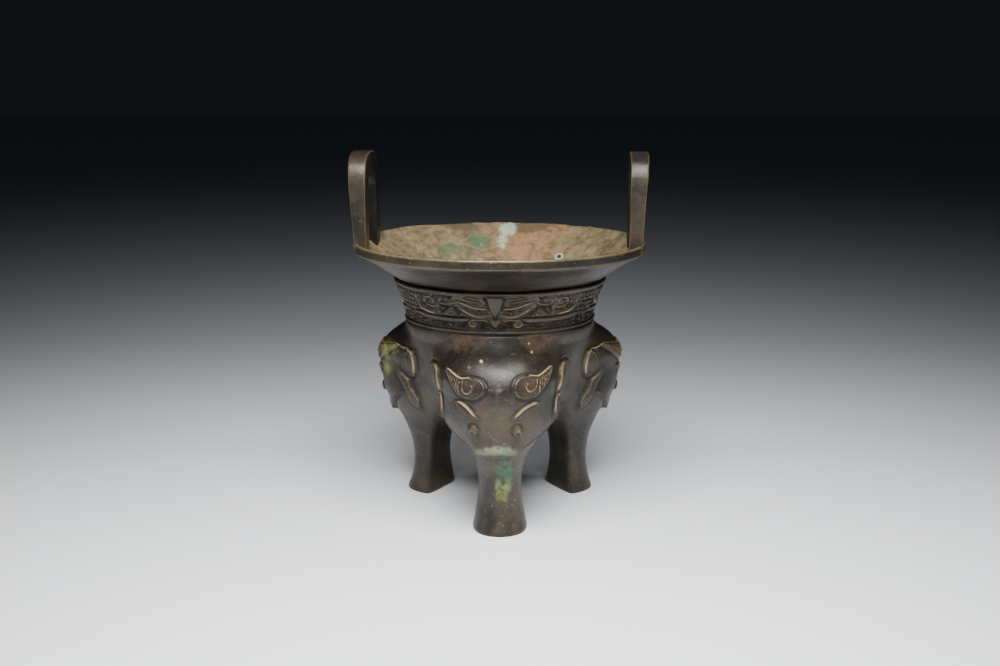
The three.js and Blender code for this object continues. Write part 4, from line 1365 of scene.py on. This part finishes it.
class DING_OT_stage(bpy.types.Operator):
    """Makes the floor, the lights and the camera"""

    bl_idname = "ding.stage"
    bl_label = "Stage"

    def execute(self, context):
        corners = [(-FLOOR_HALF, -FLOOR_HALF, 0), (FLOOR_HALF, -FLOOR_HALF, 0),
                   (FLOOR_HALF, FLOOR_HALF, 0), (-FLOOR_HALF, FLOOR_HALF, 0)]
        mesh = bpy.data.meshes.new("floor")
        mesh.from_pydata(corners, [], [(0, 1, 2, 3)])
        mesh.materials.append(floor_finish())
        floor = bpy.data.objects.new("floor", mesh)
        context.scene.collection.objects.link(floor)
        for name, place, target, extent, power in LIGHTS:
            lamp = bpy.data.lights.new(name, "AREA")
            lamp.shape = "RECTANGLE"
            lamp.size, lamp.size_y = extent
            lamp.energy = power
            lamp.spread = LIGHT_SPREAD
            light = bpy.data.objects.new(name, lamp)
            light.location = place
            x, y, z = np.array(target) - np.array(place)
            light.rotation_euler = (math.atan2(math.hypot(x, y), -z), 0, math.atan2(-x, y))
            context.scene.collection.objects.link(light)
        world = bpy.data.worlds.new("studio")
        world.use_nodes = True
        world.node_tree.nodes["Background"].inputs["Color"].default_value = WORLD_COLOUR
        context.scene.world = world
        data = bpy.data.cameras.new("camera")
        data.lens = CAMERA_LENS
        data.sensor_width = SENSOR
        camera = bpy.data.objects.new("camera", data)
        camera.location = CAMERA_PLACE
        camera.rotation_euler = (CAMERA_TILT, 0, 0)
        context.scene.collection.objects.link(camera)
        bpy.context.scene.camera = camera
        return {"FINISHED"}


OPERATORS = (DING_OT_lobes, DING_OT_band, DING_OT_mouth, DING_OT_handles, DING_OT_stage)


class DING_PT_sidebar(bpy.types.Panel):
    """Sizes, colours and the steps of the ding"""

    bl_idname = "DING_PT_sidebar"
    bl_label = "Ding"
    bl_space_type = "VIEW_3D"
    bl_region_type = "UI"
    bl_category = "Ding"

    def draw(self, context):
        """Lists the settings and then the steps."""
        for group in (context.scene.ding_sizes, context.scene.ding_finish):
            column = self.layout.column(align=True)
            for name in group.__annotations__:
                column.prop(group, name)
        for operator in OPERATORS:
            self.layout.operator(operator.bl_idname)


CLASSES = (DingSizes, DingFinish, *OPERATORS, DING_PT_sidebar)


def register():
    """Adds the settings, the steps and the sidebar."""
    for cls in CLASSES:
        bpy.utils.register_class(cls)
    bpy.types.Scene.ding_sizes = PointerProperty(type=DingSizes)
    bpy.types.Scene.ding_finish = PointerProperty(type=DingFinish)


def unregister():
    """Takes them out again."""
    del bpy.types.Scene.ding_finish
    del bpy.types.Scene.ding_sizes
    for cls in reversed(CLASSES):
        bpy.utils.unregister_class(cls)


def main():
    """Builds every piece and the stage."""
    register()
    bpy.ops.ding.lobes()
    bpy.ops.ding.band()
    bpy.ops.ding.mouth()
    bpy.ops.ding.handles()
    bpy.ops.ding.stage()


if __name__ == "__main__":
    main()
